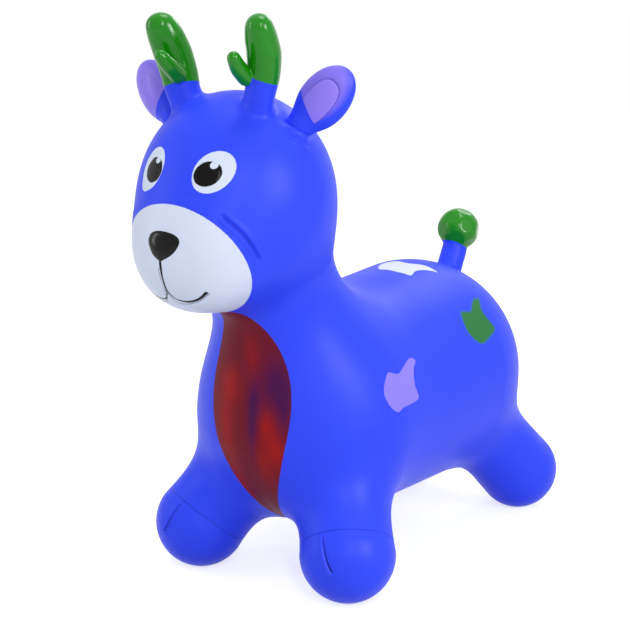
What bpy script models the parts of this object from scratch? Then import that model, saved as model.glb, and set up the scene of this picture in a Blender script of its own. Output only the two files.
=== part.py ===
"""Bouncy ride-on deer: an inflatable hopper of soft PVC with its valve and air plug.

Units are metres. The deer stands on the ground at Z = 0 and faces -Y, with its left side at +X.
The skin is one smooth distance field: tapered limbs and ellipsoids that run into each other with
fillets. Each piece of skin is a hollow wall cut from that field, so that neighbours always meet.
A limb that flexes is cut on a sphere round its own joint, so that it can turn without rubbing.
"""

import math

import bmesh
import bpy
from mathutils import Matrix, Vector

# Skin
WALL = 0.0026
SEAM_GAP = 0.0003
JOINT_GAP = 0.0008
SOLE_DEPTH = 0.0015

# Trunk, between the centres of its round chest and its round rump
CHEST_RADIUS = 0.109
CHEST_HEIGHT = 0.157
CHEST_Y = -0.043
RUMP_RADIUS = 0.116
RUMP_HEIGHT = 0.163
TRUNK_LENGTH = 0.177

# Neck, from its root in the chest
NECK_ROOT_RADIUS = 0.080
NECK_TOP_RADIUS = 0.052
NECK_ROOT_FORWARD = 0.024
NECK_ROOT_RISE = 0.021
NECK_LEAN = 0.051
NECK_RISE = 0.135
NECK_FILLET = 0.080

# Head, from the top of the neck
HEAD_WIDTH = 0.179
HEAD_LENGTH = 0.176
HEAD_HEIGHT = 0.188
HEAD_FORWARD = 0.047
HEAD_RISE = 0.065
HEAD_FILLET = 0.075

# Muzzle, set back from the front of the head and down from its centre
MUZZLE_WIDTH = 0.108
MUZZLE_LENGTH = 0.093
MUZZLE_HEIGHT = 0.098
MUZZLE_SETBACK = 0.029
MUZZLE_DROP = 0.044
MUZZLE_FILLET = 0.063
SNOUT_MARGIN = 0.009
SNOUT_RISE = 0.003

# Nose pad on the front of the muzzle
NOSE_WIDTH = 0.035
NOSE_HEIGHT = 0.027
NOSE_DEPTH = 0.013
NOSE_RISE = 0.014

# Front legs, from the centre of the chest to the foot
FRONT_HIP_SPREAD = 0.0465
FRONT_HIP_FORWARD = 0.020
FRONT_HIP_DROP = 0.031
FRONT_HIP_RADIUS = 0.0335
FRONT_FOOT_SPREAD = 0.087
FRONT_FOOT_REACH = 0.072
FRONT_FOOT_RADIUS = 0.045
FRONT_LEG_FILLET = 0.060
FRONT_JOINT_RADIUS = 0.090
FRONT_JOINT_ANGLE = 43

# Rear legs, from the centre of the rump to the foot
REAR_HIP_SPREAD = 0.0455
REAR_HIP_BACK = 0.006
REAR_HIP_DROP = 0.022
REAR_HIP_RADIUS = 0.039
REAR_FOOT_SPREAD = 0.082
REAR_FOOT_REACH = 0.0955
REAR_FOOT_RADIUS = 0.043
REAR_LEG_FILLET = 0.040
REAR_JOINT_RADIUS = 0.112
REAR_JOINT_ANGLE = 35

# Antlers: the root lies in the head at a share of its half sizes, the rest is measured from the root
ANTLER_ROOT_SPREAD = 0.324 * HEAD_WIDTH / 2
ANTLER_ROOT_FORWARD = 0.159 * HEAD_LENGTH / 2
ANTLER_ROOT_RISE = 0.5745 * HEAD_HEIGHT / 2
ANTLER_KNEE_SPREAD = 0.0185
ANTLER_KNEE_FORWARD = 0.0085
ANTLER_KNEE_RISE = 0.063
ANTLER_TIP_SPREAD = 0.0245
ANTLER_TIP_FORWARD = 0.0245
ANTLER_TIP_RISE = 0.0955
ANTLER_STEM_RADIUS = 0.0137
ANTLER_KNEE_RADIUS = 0.0159
ANTLER_TIP_RADIUS = 0.0135
ANTLER_PAINT_SHARE = 0.74
ANTLER_JOINT_SHARE = 0.30
ANTLER_JOINT_RADIUS = 0.027
ANTLER_JOINT_ANGLE = 47
TINE_ROOT = Vector((-0.010, -0.012, -0.009))
TINE_TIP = Vector((-0.0075, -0.0325, 0.0045))
TINE_RADIUS = 0.0073

# Ears: the root lies in the head at a share of its half sizes, the rest is measured from the root
EAR_ROOT_SPREAD = 0.6313 * HEAD_WIDTH / 2
EAR_ROOT_FORWARD = 0.1023 * HEAD_LENGTH / 2
EAR_ROOT_RISE = 0.4255 * HEAD_HEIGHT / 2
EAR_BASE_SPREAD = 0.015
EAR_BASE_BACK = 0.009
EAR_BASE_RISE = 0.0285
EAR_TIP_SPREAD = 0.0565
EAR_TIP_BACK = 0.0165
EAR_TIP_RISE = 0.0705
EAR_STALK_RADIUS = 0.0113
EAR_WIDTH = 0.0444
EAR_THICKNESS = 0.025
EAR_OVERHANG = 0.004
EAR_FACING = Vector((0.25, -1.0, 0.1))
EAR_FACE_WIDTH = 0.033
EAR_FACE_LENGTH = 0.044
EAR_FACE_SHARE = 0.56
EAR_JOINT_SHARE = 0.80
EAR_JOINT_RADIUS = 0.0180
EAR_JOINT_ANGLE = 82

# Tail, from the centre of the rump
TAIL_ROOT_BACK = 0.056
TAIL_ROOT_RISE = 0.0525
TAIL_TOP_BACK = 0.091
TAIL_TOP_RISE = 0.115
TAIL_RADIUS = 0.0137
BOBBLE_BACK = 0.0995
BOBBLE_RISE = 0.1375
BOBBLE_RADIUS = 0.0229
BOBBLE_PAINT_MARGIN = 0.0022
TAIL_JOINT_SHARE = 0.40
TAIL_JOINT_RADIUS = 0.030
TAIL_JOINT_ANGLE = 44

# Fillets of the small limbs
SMALL_FILLET = 0.012
ANTLER_FILLET = 0.008
TINE_FILLET = 0.005
BOBBLE_FILLET = 0.004

# Joint of the neck
NECK_JOINT_SHARE = 0.70
NECK_JOINT_RADIUS = 0.080
NECK_JOINT_ANGLE = 90

# Sprayed breast, a leaf on the front of the chest
BREAST_LOW = 0.040
BREAST_HIGH = 0.292
BREAST_HALF_WIDTH = 0.0436
BREAST_SKEW = 1.27
BREAST_BACK = 0.052

# Valve in the belly
VALVE_BACK = 0.090
COLLAR_RADIUS = 0.013
COLLAR_FLANGE = 0.0016
COLLAR_NECK_RADIUS = 0.009
COLLAR_DEPTH = 0.009
COLLAR_SEAT = 0.0010
BORE_RADIUS = 0.0046
PLUG_HEAD_RADIUS = 0.0085
PLUG_HEAD_THICKNESS = 0.0024
PLUG_LENGTH = 0.016
PLUG_TIP_RADIUS = 0.0034

# Mesh cells of the field
TRUNK_CELL = 0.0230
HEAD_CELL = 0.0132
FOOT_CELL = 0.0170
ANTLER_CELL = 0.0080
EAR_CELL = 0.0090
TAIL_CELL = 0.0090
FINEST_FACET = 0.005
FACET_SHARE = 0.15
FEWEST_FACETS = 14
ARC_STEP = 12
BOX_MARGIN = 0.020
FACET_SWELL = 0.29

# Colours as red, green and blue in linear light
BLUE = (0.045, 0.08, 0.92)
WHITE = (0.85, 0.86, 0.90)
GREEN = (0.015, 0.25, 0.013)
LILAC = (0.30, 0.20, 0.92)
RED = (0.36, 0.012, 0.02)
BLACK = (0.008, 0.008, 0.009)
IVORY = (0.80, 0.79, 0.74)

CHEST = Vector((0, CHEST_Y, CHEST_HEIGHT))
RUMP = Vector((0, CHEST_Y + TRUNK_LENGTH, RUMP_HEIGHT))
NECK_ROOT = CHEST + Vector((0, -NECK_ROOT_FORWARD, NECK_ROOT_RISE))
NECK_TOP = NECK_ROOT + Vector((0, -NECK_LEAN, NECK_RISE))
HEAD = NECK_TOP + Vector((0, -HEAD_FORWARD, HEAD_RISE))
MUZZLE = HEAD + Vector((0, MUZZLE_SETBACK - HEAD_LENGTH / 2, -MUZZLE_DROP))
FRONT_HIP = CHEST + Vector((FRONT_HIP_SPREAD, -FRONT_HIP_FORWARD, -FRONT_HIP_DROP))
FRONT_FOOT = Vector((FRONT_FOOT_SPREAD, CHEST.y - FRONT_FOOT_REACH, FRONT_FOOT_RADIUS - SOLE_DEPTH))
REAR_HIP = RUMP + Vector((REAR_HIP_SPREAD, REAR_HIP_BACK, -REAR_HIP_DROP))
REAR_FOOT = Vector((REAR_FOOT_SPREAD, RUMP.y + REAR_FOOT_REACH, REAR_FOOT_RADIUS - SOLE_DEPTH))
ANTLER_ROOT = HEAD + Vector((ANTLER_ROOT_SPREAD, -ANTLER_ROOT_FORWARD, ANTLER_ROOT_RISE))
ANTLER_KNEE = ANTLER_ROOT + Vector((ANTLER_KNEE_SPREAD, -ANTLER_KNEE_FORWARD, ANTLER_KNEE_RISE))
ANTLER_TIP = ANTLER_ROOT + Vector((ANTLER_TIP_SPREAD, -ANTLER_TIP_FORWARD, ANTLER_TIP_RISE))
EAR_ROOT = HEAD + Vector((EAR_ROOT_SPREAD, -EAR_ROOT_FORWARD, EAR_ROOT_RISE))
EAR_BASE = EAR_ROOT + Vector((EAR_BASE_SPREAD, EAR_BASE_BACK, EAR_BASE_RISE))
EAR_TIP = EAR_ROOT + Vector((EAR_TIP_SPREAD, EAR_TIP_BACK, EAR_TIP_RISE))
EAR_CLEAR_SPREAD = ANTLER_TIP.x + ANTLER_TIP_RADIUS + SMALL_FILLET / 8
TAIL_ROOT = RUMP + Vector((0, TAIL_ROOT_BACK, TAIL_ROOT_RISE))
TAIL_TOP = RUMP + Vector((0, TAIL_TOP_BACK, TAIL_TOP_RISE))
BOBBLE = RUMP + Vector((0, BOBBLE_BACK, BOBBLE_RISE))

for leftover in list(bpy.data.objects):
    bpy.data.objects.remove(leftover)


def new_collection(name):
    collection = bpy.data.collections.new(name)
    bpy.context.scene.collection.children.link(collection)
    return collection


parts = new_collection("bouncy_ride_on_deer")
cutters = new_collection("cutters")


def mirrored(point, side):
    """A point of the left side, or its twin on the right where side is -1."""
    return Vector((side * point.x, point.y, point.z))


def between(start, end, share):
    return start.lerp(end, share)


class SkinField:
    """The distance to the skin as a chain of nodes: negative inside, in metres."""

    def __init__(self, tree):
        self.tree = tree
        self.place = tree.nodes.new("GeometryNodeInputPosition").outputs[0]
        self.left_place = self.folded(self.place)

    def node(self, kind, operation, inputs):
        """Adds a node, linking each input that is a socket and setting each that is a value."""
        node = self.tree.nodes.new(kind)
        node.operation = operation
        for socket, value in zip(node.inputs, inputs):
            if isinstance(value, bpy.types.NodeSocket):
                self.tree.links.new(value, socket)
            elif value is not None:
                socket.default_value = value
        return node

    def math(self, operation, *values, clamped=False):
        node = self.node("ShaderNodeMath", operation, values)
        node.use_clamp = clamped
        return node.outputs[0]

    def vector(self, operation, *values):
        return self.node("ShaderNodeVectorMath", operation, values).outputs[0]

    def measure(self, operation, *values):
        return self.node("ShaderNodeVectorMath", operation, values).outputs["Value"]

    def folded(self, place):
        """The place with its right half folded over the left, for paired limbs."""
        split = self.tree.nodes.new("ShaderNodeSeparateXYZ")
        self.tree.links.new(place, split.inputs[0])
        joined = self.tree.nodes.new("ShaderNodeCombineXYZ")
        self.tree.links.new(self.math("ABSOLUTE", split.outputs[0]), joined.inputs[0])
        self.tree.links.new(split.outputs[1], joined.inputs[1])
        self.tree.links.new(split.outputs[2], joined.inputs[2])
        return joined.outputs[0]

    def limb(self, place, start, end, start_radius, end_radius):
        """A round limb whose radius runs evenly from one end to the other."""
        axis = end - start
        along = self.vector("SUBTRACT", place, start)
        share = self.measure("DOT_PRODUCT", along, axis / axis.length_squared)
        share = self.math("ADD", share, 0.0, clamped=True)
        on_axis = self.vector("SCALE", axis, None, None, share)
        away = self.measure("DISTANCE", along, on_axis)
        radius = self.math("MULTIPLY_ADD", share, end_radius - start_radius, start_radius)
        return self.math("SUBTRACT", away, radius)

    def ellipsoid(self, place, centre, radii, axes=None):
        """An ellipsoid, turned to three unit axes where they are given."""
        offset = self.vector("SUBTRACT", place, centre)
        if axes:
            turned = self.tree.nodes.new("ShaderNodeCombineXYZ")
            for axis, socket in zip(axes, turned.inputs):
                self.tree.links.new(self.measure("DOT_PRODUCT", offset, axis), socket)
            offset = turned.outputs[0]
        tiny = 1e-4
        scaled = self.vector("DIVIDE", offset, radii)
        first = self.math("ADD", self.measure("LENGTH", scaled), tiny)
        steepness = self.measure("LENGTH", self.vector("DIVIDE", scaled, radii))
        second = self.math("ADD", steepness, tiny / max(radii))
        return self.math("DIVIDE", self.math("MULTIPLY", first, self.math("SUBTRACT", first, 1.0)), second)

    def blend(self, first, second, fillet):
        return self.math("SMOOTH_MIN", first, second, fillet)


def ear_axes():
    """The ear's own directions: across it, out of its face and along it."""
    along = (EAR_TIP - EAR_BASE).normalized()
    facing = (EAR_FACING - along * EAR_FACING.dot(along)).normalized()
    return facing.cross(along), facing, along


def ear_radii():
    length = (EAR_TIP - EAR_BASE).length
    return Vector((EAR_WIDTH / 2, EAR_THICKNESS / 2, length / 2 + EAR_OVERHANG))


def whole_skin(field, with_tines):
    """Every rounded form of the deer, run together with its fillet."""
    place, left = field.place, field.left_place
    skin = field.limb(place, CHEST, RUMP, CHEST_RADIUS, RUMP_RADIUS)
    neck = field.limb(place, NECK_ROOT, NECK_TOP, NECK_ROOT_RADIUS, NECK_TOP_RADIUS)
    skin = field.blend(skin, neck, NECK_FILLET)
    skull = field.ellipsoid(place, HEAD, Vector((HEAD_WIDTH, HEAD_LENGTH, HEAD_HEIGHT)) / 2)
    snout = field.ellipsoid(place, MUZZLE, Vector((MUZZLE_WIDTH, MUZZLE_LENGTH, MUZZLE_HEIGHT)) / 2)
    skin = field.blend(skin, field.blend(skull, snout, MUZZLE_FILLET), HEAD_FILLET)
    front_leg = field.limb(left, FRONT_HIP, FRONT_FOOT, FRONT_HIP_RADIUS, FRONT_FOOT_RADIUS)
    skin = field.blend(skin, front_leg, FRONT_LEG_FILLET)
    rear_leg = field.limb(left, REAR_HIP, REAR_FOOT, REAR_HIP_RADIUS, REAR_FOOT_RADIUS)
    skin = field.blend(skin, rear_leg, REAR_LEG_FILLET)
    stem = field.limb(left, ANTLER_ROOT, ANTLER_KNEE, ANTLER_STEM_RADIUS, ANTLER_STEM_RADIUS)
    beam = field.limb(left, ANTLER_KNEE, ANTLER_TIP, ANTLER_KNEE_RADIUS, ANTLER_TIP_RADIUS)
    antler = field.blend(stem, beam, ANTLER_FILLET)
    if with_tines:
        tine = field.limb(left, ANTLER_KNEE + TINE_ROOT, ANTLER_KNEE + TINE_TIP, TINE_RADIUS, TINE_RADIUS)
        antler = field.blend(antler, tine, TINE_FILLET)
    skin = field.blend(skin, antler, SMALL_FILLET)
    stalk = field.limb(left, EAR_ROOT, EAR_BASE, EAR_STALK_RADIUS, EAR_STALK_RADIUS)
    blade = field.ellipsoid(left, between(EAR_BASE, EAR_TIP, 0.5), ear_radii(), ear_axes())
    skin = field.blend(skin, field.blend(stalk, blade, SMALL_FILLET), SMALL_FILLET)
    tail = field.limb(place, TAIL_ROOT, TAIL_TOP, TAIL_RADIUS, TAIL_RADIUS)
    bobble = field.ellipsoid(place, BOBBLE, Vector((BOBBLE_RADIUS,) * 3))
    return field.blend(skin, field.blend(tail, bobble, BOBBLE_FILLET), SMALL_FILLET)


class SkinMesher:
    """The node tree that meshes the field inside a box, as a solid or as a hollow wall."""

    def __init__(self):
        self.tree = bpy.data.node_groups.new("deer_skin", "GeometryNodeTree")
        self.tree.interface.new_socket("Geometry", in_out="OUTPUT", socket_type="NodeSocketGeometry")
        self.field = SkinField(self.tree)
        self.centre = self.tree.nodes.new("ShaderNodeVectorMath")
        self.half = self.tree.nodes.new("ShaderNodeVectorMath")
        self.limit = self.box_distance()
        self.grids = []
        self.outer = self.surface(whole_skin(self.field, True))
        self.inner = self.surface(whole_skin(self.field, False))
        flipped = self.tree.nodes.new("GeometryNodeFlipFaces")
        self.tree.links.new(self.inner.outputs[0], flipped.inputs[0])
        joined = self.tree.nodes.new("GeometryNodeJoinGeometry")
        self.tree.links.new(self.outer.outputs[0], joined.inputs[0])
        self.tree.links.new(flipped.outputs[0], joined.inputs[0])
        output = self.tree.nodes.new("NodeGroupOutput")
        self.tree.links.new(joined.outputs[0], output.inputs[0])

    def box_distance(self):
        """How far outside the box a place lies, along the axis where it lies farthest out."""
        self.centre.operation = "SUBTRACT"
        self.half.operation = "SUBTRACT"
        self.tree.links.new(self.field.place, self.centre.inputs[0])
        self.tree.links.new(self.field.vector("ABSOLUTE", self.centre.outputs[0]), self.half.inputs[0])
        split = self.tree.nodes.new("ShaderNodeSeparateXYZ")
        self.tree.links.new(self.half.outputs[0], split.inputs[0])
        wide = self.field.math("MAXIMUM", split.outputs[0], split.outputs[1])
        return self.field.math("MAXIMUM", wide, split.outputs[2])

    def surface(self, skin):
        """A mesh of the skin's surface inside the box."""
        inside = self.field.math("MULTIPLY", self.field.math("MAXIMUM", skin, self.limit), -1.0)
        grid = self.tree.nodes.new("GeometryNodeVolumeCube")
        self.tree.links.new(inside, grid.inputs["Density"])
        grid.inputs["Background"].default_value = -1.0
        self.grids.append(grid)
        meshed = self.tree.nodes.new("GeometryNodeVolumeToMesh")
        meshed.resolution_mode = "GRID"
        self.tree.links.new(grid.outputs[0], meshed.inputs["Volume"])
        return meshed

    def mesh(self, name, low, high, cell, wall, offset):
        """The skin inside the box: a wall of the given thickness, or a solid where it is zero."""
        edge = Vector((2 * cell,) * 3)
        self.centre.inputs[1].default_value = (low + high) / 2
        self.half.inputs[1].default_value = (high - low) / 2
        for grid in self.grids:
            grid.inputs["Min"].default_value = low - edge
            grid.inputs["Max"].default_value = high + edge
            for axis, size in zip("XYZ", high - low + 2 * edge):
                grid.inputs["Resolution " + axis].default_value = math.ceil(size / cell) + 1
        self.outer.inputs["Threshold"].default_value = -offset
        self.inner.inputs["Threshold"].default_value = wall - offset if wall else 1.0
        obj = bpy.data.objects.new(name, bpy.data.meshes.new(name))
        parts.objects.link(obj)
        obj.modifiers.new("skin", "NODES").node_group = self.tree
        obj.modifiers.new("flat", "TRIANGULATE").quad_method = "FIXED"
        return evaluated_mesh(obj, name)


def evaluated_mesh(obj, name):
    """The object's shape with its modifiers, as a mesh of its own; the object is removed."""
    graph = bpy.context.evaluated_depsgraph_get()
    mesh = bpy.data.meshes.new_from_object(obj.evaluated_get(graph))
    mesh.name = name
    bpy.data.objects.remove(obj)
    return mesh


SKIN = SkinMesher()


def paint(obj, colour, roughness):
    """Gives the object a material of its own."""
    material = bpy.data.materials.new(obj.name)
    material.use_nodes = True
    shader = material.node_tree.nodes["Principled BSDF"]
    shader.inputs["Base Color"].default_value = (*colour, 1.0)
    shader.inputs["Roughness"].default_value = roughness
    shader.inputs["Metallic"].default_value = 0.0
    obj.data.materials.clear()
    obj.data.materials.append(material)
    obj.data.shade_smooth()
    obj.data.set_sharp_from_angle(angle=math.radians(40))


def swell(cell, roundness):
    """How far facets of a cell's size lie inside a round of the given radius, to be made up for."""
    return FACET_SWELL * cell**2 / roundness


def shell(name, low, high, cell, roundness, colour, roughness=0.38):
    """A hollow wall of skin inside a box, whose typical radius is its roundness."""
    obj = bpy.data.objects.new(name, SKIN.mesh(name, low, high, cell, WALL, swell(cell, roundness)))
    parts.objects.link(obj)
    paint(obj, colour, roughness)
    return obj


def cut(obj, operation, *tools):
    """Keeps (INTERSECT) or removes (DIFFERENCE) what lies in each cutter."""
    for tool in tools:
        modifier = obj.modifiers.new(tool.name, "BOOLEAN")
        modifier.operation = operation
        modifier.object = tool


def keep_cutter(obj):
    """Marks an object as a cutter, which is no part of the deer."""
    cutters.objects.link(obj)
    obj.hide_render = True
    obj.display_type = "WIRE"
    return obj


def facets(radius):
    """How many facets go round a circle of the radius, an even number."""
    return max(FEWEST_FACETS, 2 * round(math.pi * radius / (FINEST_FACET + FACET_SHARE * radius)))


def turned(name, profile, steps):
    """A turned shape about Z from a profile of (radius, height) that runs down its outer side.

    A profile that starts off the axis is closed into a ring.
    """
    mesh = bpy.data.meshes.new(name)
    points = [(radius, 0.0, height) for radius, height in profile]
    edges = [(i, i + 1) for i in range(len(points) - 1)]
    if points[0][0] > 0:
        edges.append((len(points) - 1, 0))
    mesh.from_pydata(points, edges, [])
    obj = bpy.data.objects.new(name, mesh)
    screw = obj.modifiers.new("turn", "SCREW")
    screw.axis = "Z"
    screw.steps = steps
    screw.render_steps = steps
    screw.use_merge_vertices = True
    screw.merge_threshold = 1e-5
    return obj


def limb_region(name, pivot, direction, radius, angle, reach):
    """What lies outside a sphere round the pivot, inside a cone of the given half angle along the limb."""
    half = math.radians(angle)
    profile = [(0.0, reach), (reach * math.sin(half), reach * math.cos(half))]
    arc_steps = round(angle / ARC_STEP)
    for step in range(arc_steps + 1):
        turn = half * (1 - step / arc_steps)
        profile.append((radius * math.sin(turn), radius * math.cos(turn)))
    profile[-1] = (0.0, radius)
    region = turned(name, profile, facets(radius * math.sin(half)))
    region.matrix_world = Matrix.Translation(pivot) @ direction.to_track_quat("Z", "Y").to_matrix().to_4x4()
    return keep_cutter(region)


def limb_regions(name, pivot, direction, radius, angle, reach):
    """The limb's own region, and the one taken from its carrier, which leaves the joint's gap."""
    own = limb_region(name + "_region", pivot, direction, radius, angle, reach)
    taken = limb_region(name + "_cut", pivot, direction, radius - JOINT_GAP, angle, reach)
    return own, taken


def ball_region(name, centre, radii, margin=0.0, axes=None):
    """An ellipsoid cutter, grown by a margin."""
    mesh = bpy.data.meshes.new(name)
    ball = bmesh.new()
    around = facets(max(radii))
    bmesh.ops.create_uvsphere(ball, u_segments=around, v_segments=around // 2, radius=1.0)
    bmesh.ops.scale(ball, vec=radii + Vector((margin,) * 3), verts=ball.verts)
    ball.to_mesh(mesh)
    ball.free()
    obj = bpy.data.objects.new(name, mesh)
    turn = Matrix(axes).transposed().to_4x4() if axes else Matrix()
    obj.matrix_world = Matrix.Translation(centre) @ turn
    return keep_cutter(obj)


def block_region(name, foot, direction, side):
    """A cube that stands with its base on the foot point, square to the direction."""
    mesh = bpy.data.meshes.new(name)
    block = bmesh.new()
    bmesh.ops.create_cube(block, size=side)
    bmesh.ops.translate(block, vec=(0, 0, side / 2), verts=block.verts)
    block.to_mesh(mesh)
    block.free()
    obj = bpy.data.objects.new(name, mesh)
    obj.matrix_world = Matrix.Translation(foot) @ direction.to_track_quat("Z", "Y").to_matrix().to_4x4()
    return keep_cutter(obj)


def joint_empty(name, pivot, *children):
    """An empty on the joint's axis that carries the moving pieces."""
    empty = bpy.data.objects.new(name, None)
    parts.objects.link(empty)
    empty.location = pivot
    for child in children:
        child.parent = empty
        child.matrix_parent_inverse = Matrix.Translation(-pivot)


def box_round(points, margin):
    """The low and high corners of a box that holds the points with a margin."""
    low = Vector([min(point[i] for point in points) - margin for i in range(3)])
    high = Vector([max(point[i] for point in points) + margin for i in range(3)])
    return low, high


def mirrored_box(low, high, side):
    """A box of the left side, or its twin on the right where side is -1."""
    if side > 0:
        return low, high
    return Vector((-high.x, low.y, low.z)), Vector((-low.x, high.y, high.z))


def breast_half_width(height, margin):
    share = (height - BREAST_LOW) / (BREAST_HIGH - BREAST_LOW)
    return BREAST_HALF_WIDTH * math.sin(math.pi * share**BREAST_SKEW) + margin


def breast_region(name, margin=0.0):
    """A leaf outline in front view, pushed through the front wall of the chest."""
    count = 14
    heights = [BREAST_LOW + (BREAST_HIGH - BREAST_LOW) * (i + 0.5) / count for i in range(count)]
    outline = [(breast_half_width(height, margin), height) for height in heights]
    outline += [(-half, height) for half, height in reversed(outline)]
    curve = bpy.data.curves.new(name, "CURVE")
    curve.dimensions = "2D"
    curve.fill_mode = "BOTH"
    back = CHEST.y - BREAST_BACK
    front = MUZZLE.y - MUZZLE_LENGTH
    curve.extrude = (back - front) / 2
    spline = curve.splines.new("POLY")
    spline.points.add(len(outline) - 1)
    for point, (across, height) in zip(spline.points, outline):
        point.co = (across, height, 0.0, 1.0)
    spline.use_cyclic_u = True
    flat = bpy.data.objects.new(name, curve)
    cutters.objects.link(flat)
    mesh = evaluated_mesh(flat, name)
    weld = bmesh.new()
    weld.from_mesh(mesh)
    bmesh.ops.remove_doubles(weld, verts=weld.verts, dist=1e-6)
    weld.to_mesh(mesh)
    weld.free()
    obj = bpy.data.objects.new(name, mesh)
    obj.matrix_world = Matrix.Translation((0, (back + front) / 2, 0)) @ Matrix.Rotation(math.pi / 2, 4, "X")
    return keep_cutter(obj)


def build_feet(trunk):
    """Four feet that flex about their hips, each flattened where it stands."""
    ground = block_region("ground", Vector((0, 0, 0)), Vector((0, 0, -1)), TRUNK_LENGTH * 6)
    legs = {
        "front": (FRONT_HIP, FRONT_FOOT, FRONT_FOOT_RADIUS, FRONT_JOINT_RADIUS, FRONT_JOINT_ANGLE),
        "rear": (REAR_HIP, REAR_FOOT, REAR_FOOT_RADIUS, REAR_JOINT_RADIUS, REAR_JOINT_ANGLE),
    }
    for end, (hip, foot, foot_radius, joint_radius, angle) in legs.items():
        for side, hand in ((1, "left"), (-1, "right")):
            name = f"{end}_{hand}_foot"
            pivot, toe = mirrored(hip, side), mirrored(foot, side)
            reach = (toe - pivot).length + foot_radius + BOX_MARGIN
            own, taken = limb_regions(name, pivot, toe - pivot, joint_radius, angle, reach * 1.3)
            low, high = box_round((toe, pivot.lerp(toe, 0.4)), foot_radius + BOX_MARGIN)
            piece = shell(name, low, high, FOOT_CELL, foot_radius, BLUE)
            cut(piece, "INTERSECT", own)
            cut(piece, "DIFFERENCE", ground)
            cut(trunk, "DIFFERENCE", taken)
            joint_empty(name + "_joint", pivot, piece)


def build_head(trunk, breast):
    """The head on its flexing neck, with the white muzzle and the nose pad."""
    pivot = between(NECK_ROOT, NECK_TOP, NECK_JOINT_SHARE)
    reach = HEAD_HEIGHT * 2.2
    own, taken = limb_regions(
        "head", pivot, NECK_TOP - NECK_ROOT, NECK_JOINT_RADIUS, NECK_JOINT_ANGLE, reach
    )
    low, high = box_round((pivot, HEAD), BOX_MARGIN + HEAD_HEIGHT / 2)
    low.y = MUZZLE.y - MUZZLE_LENGTH / 2 - BOX_MARGIN
    high.z = HEAD.z + HEAD_HEIGHT / 2 + BOX_MARGIN
    head = shell("head", low, high, HEAD_CELL, HEAD_WIDTH / 2, BLUE)
    muzzle = shell("muzzle", low, high, HEAD_CELL, HEAD_WIDTH / 2, WHITE)
    cut(head, "INTERSECT", own)
    cut(muzzle, "INTERSECT", own)
    cut(trunk, "DIFFERENCE", taken)
    cut(breast, "DIFFERENCE", taken)
    snout_radii = Vector((MUZZLE_WIDTH, MUZZLE_LENGTH, MUZZLE_HEIGHT)) / 2 + Vector((SNOUT_MARGIN,) * 3)
    snout_centre = MUZZLE + Vector((0, 0, SNOUT_RISE))
    cut(muzzle, "INTERSECT", ball_region("snout", snout_centre, snout_radii))
    cut(head, "DIFFERENCE", ball_region("snout_cut", snout_centre, snout_radii, SEAM_GAP))
    nose = build_nose(low, high)
    joint_empty("neck_joint", pivot, head, muzzle, nose)
    return head


def build_nose(low, high):
    """A low oval pad that lies on the front of the muzzle, which is meshed in the given box."""
    centre = MUZZLE + Vector((0, -MUZZLE_LENGTH / 2, NOSE_RISE))
    radii = Vector((NOSE_WIDTH, NOSE_DEPTH, NOSE_HEIGHT)) / 2
    nose = bpy.data.objects.new("nose", bpy.data.meshes.new("nose"))
    pad = bmesh.new()
    bmesh.ops.create_uvsphere(pad, u_segments=20, v_segments=12, radius=1.0)
    bmesh.ops.scale(pad, vec=radii, verts=pad.verts)
    pad.to_mesh(nose.data)
    pad.free()
    parts.objects.link(nose)
    nose.location = centre
    bpy.context.view_layer.update()
    paint(nose, BLACK, 0.2)
    clear = swell(HEAD_CELL, HEAD_WIDTH / 2) + SEAM_GAP * 2
    under = bpy.data.objects.new("under_nose", SKIN.mesh("under_nose", low, high, HEAD_CELL, 0.0, clear))
    cut(nose, "DIFFERENCE", keep_cutter(under))
    return nose


def build_antlers(head):
    """Two antlers: a blue stem that flexes on the head, and a green beam with a tine."""
    for side, hand in ((1, "left"), (-1, "right")):
        name = f"antler_{hand}"
        pivot = between(ANTLER_ROOT, ANTLER_KNEE, ANTLER_JOINT_SHARE)
        reach = (ANTLER_TIP - pivot).length * 2
        axis = mirrored(ANTLER_KNEE - ANTLER_ROOT, side)
        own, taken = limb_regions(
            name, mirrored(pivot, side), axis, ANTLER_JOINT_RADIUS, ANTLER_JOINT_ANGLE, reach
        )
        tine = ANTLER_KNEE + TINE_TIP
        low, high = box_round((pivot, ANTLER_KNEE, ANTLER_TIP, tine), ANTLER_KNEE_RADIUS + ANTLER_CELL)
        low.x = 0.0
        high.x = ANTLER_TIP.x + ANTLER_TIP_RADIUS
        box = mirrored_box(low, high, side)
        stem = shell(name + "_stem", *box, ANTLER_CELL, ANTLER_STEM_RADIUS * 2, BLUE)
        beam = shell(name + "_beam", *box, ANTLER_CELL, ANTLER_STEM_RADIUS * 2, GREEN, 0.22)
        edge = mirrored(between(ANTLER_ROOT, ANTLER_KNEE, ANTLER_PAINT_SHARE), side)
        cut(stem, "INTERSECT", own)
        stem_end = edge - axis.normalized() * SEAM_GAP
        cut(stem, "DIFFERENCE", block_region(name + "_blue_cut", stem_end, axis, reach))
        cut(beam, "INTERSECT", block_region(name + "_green", edge, axis, reach))
        cut(head, "DIFFERENCE", taken)
        joint_empty(name + "_joint", mirrored(pivot, side), stem, beam)


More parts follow.
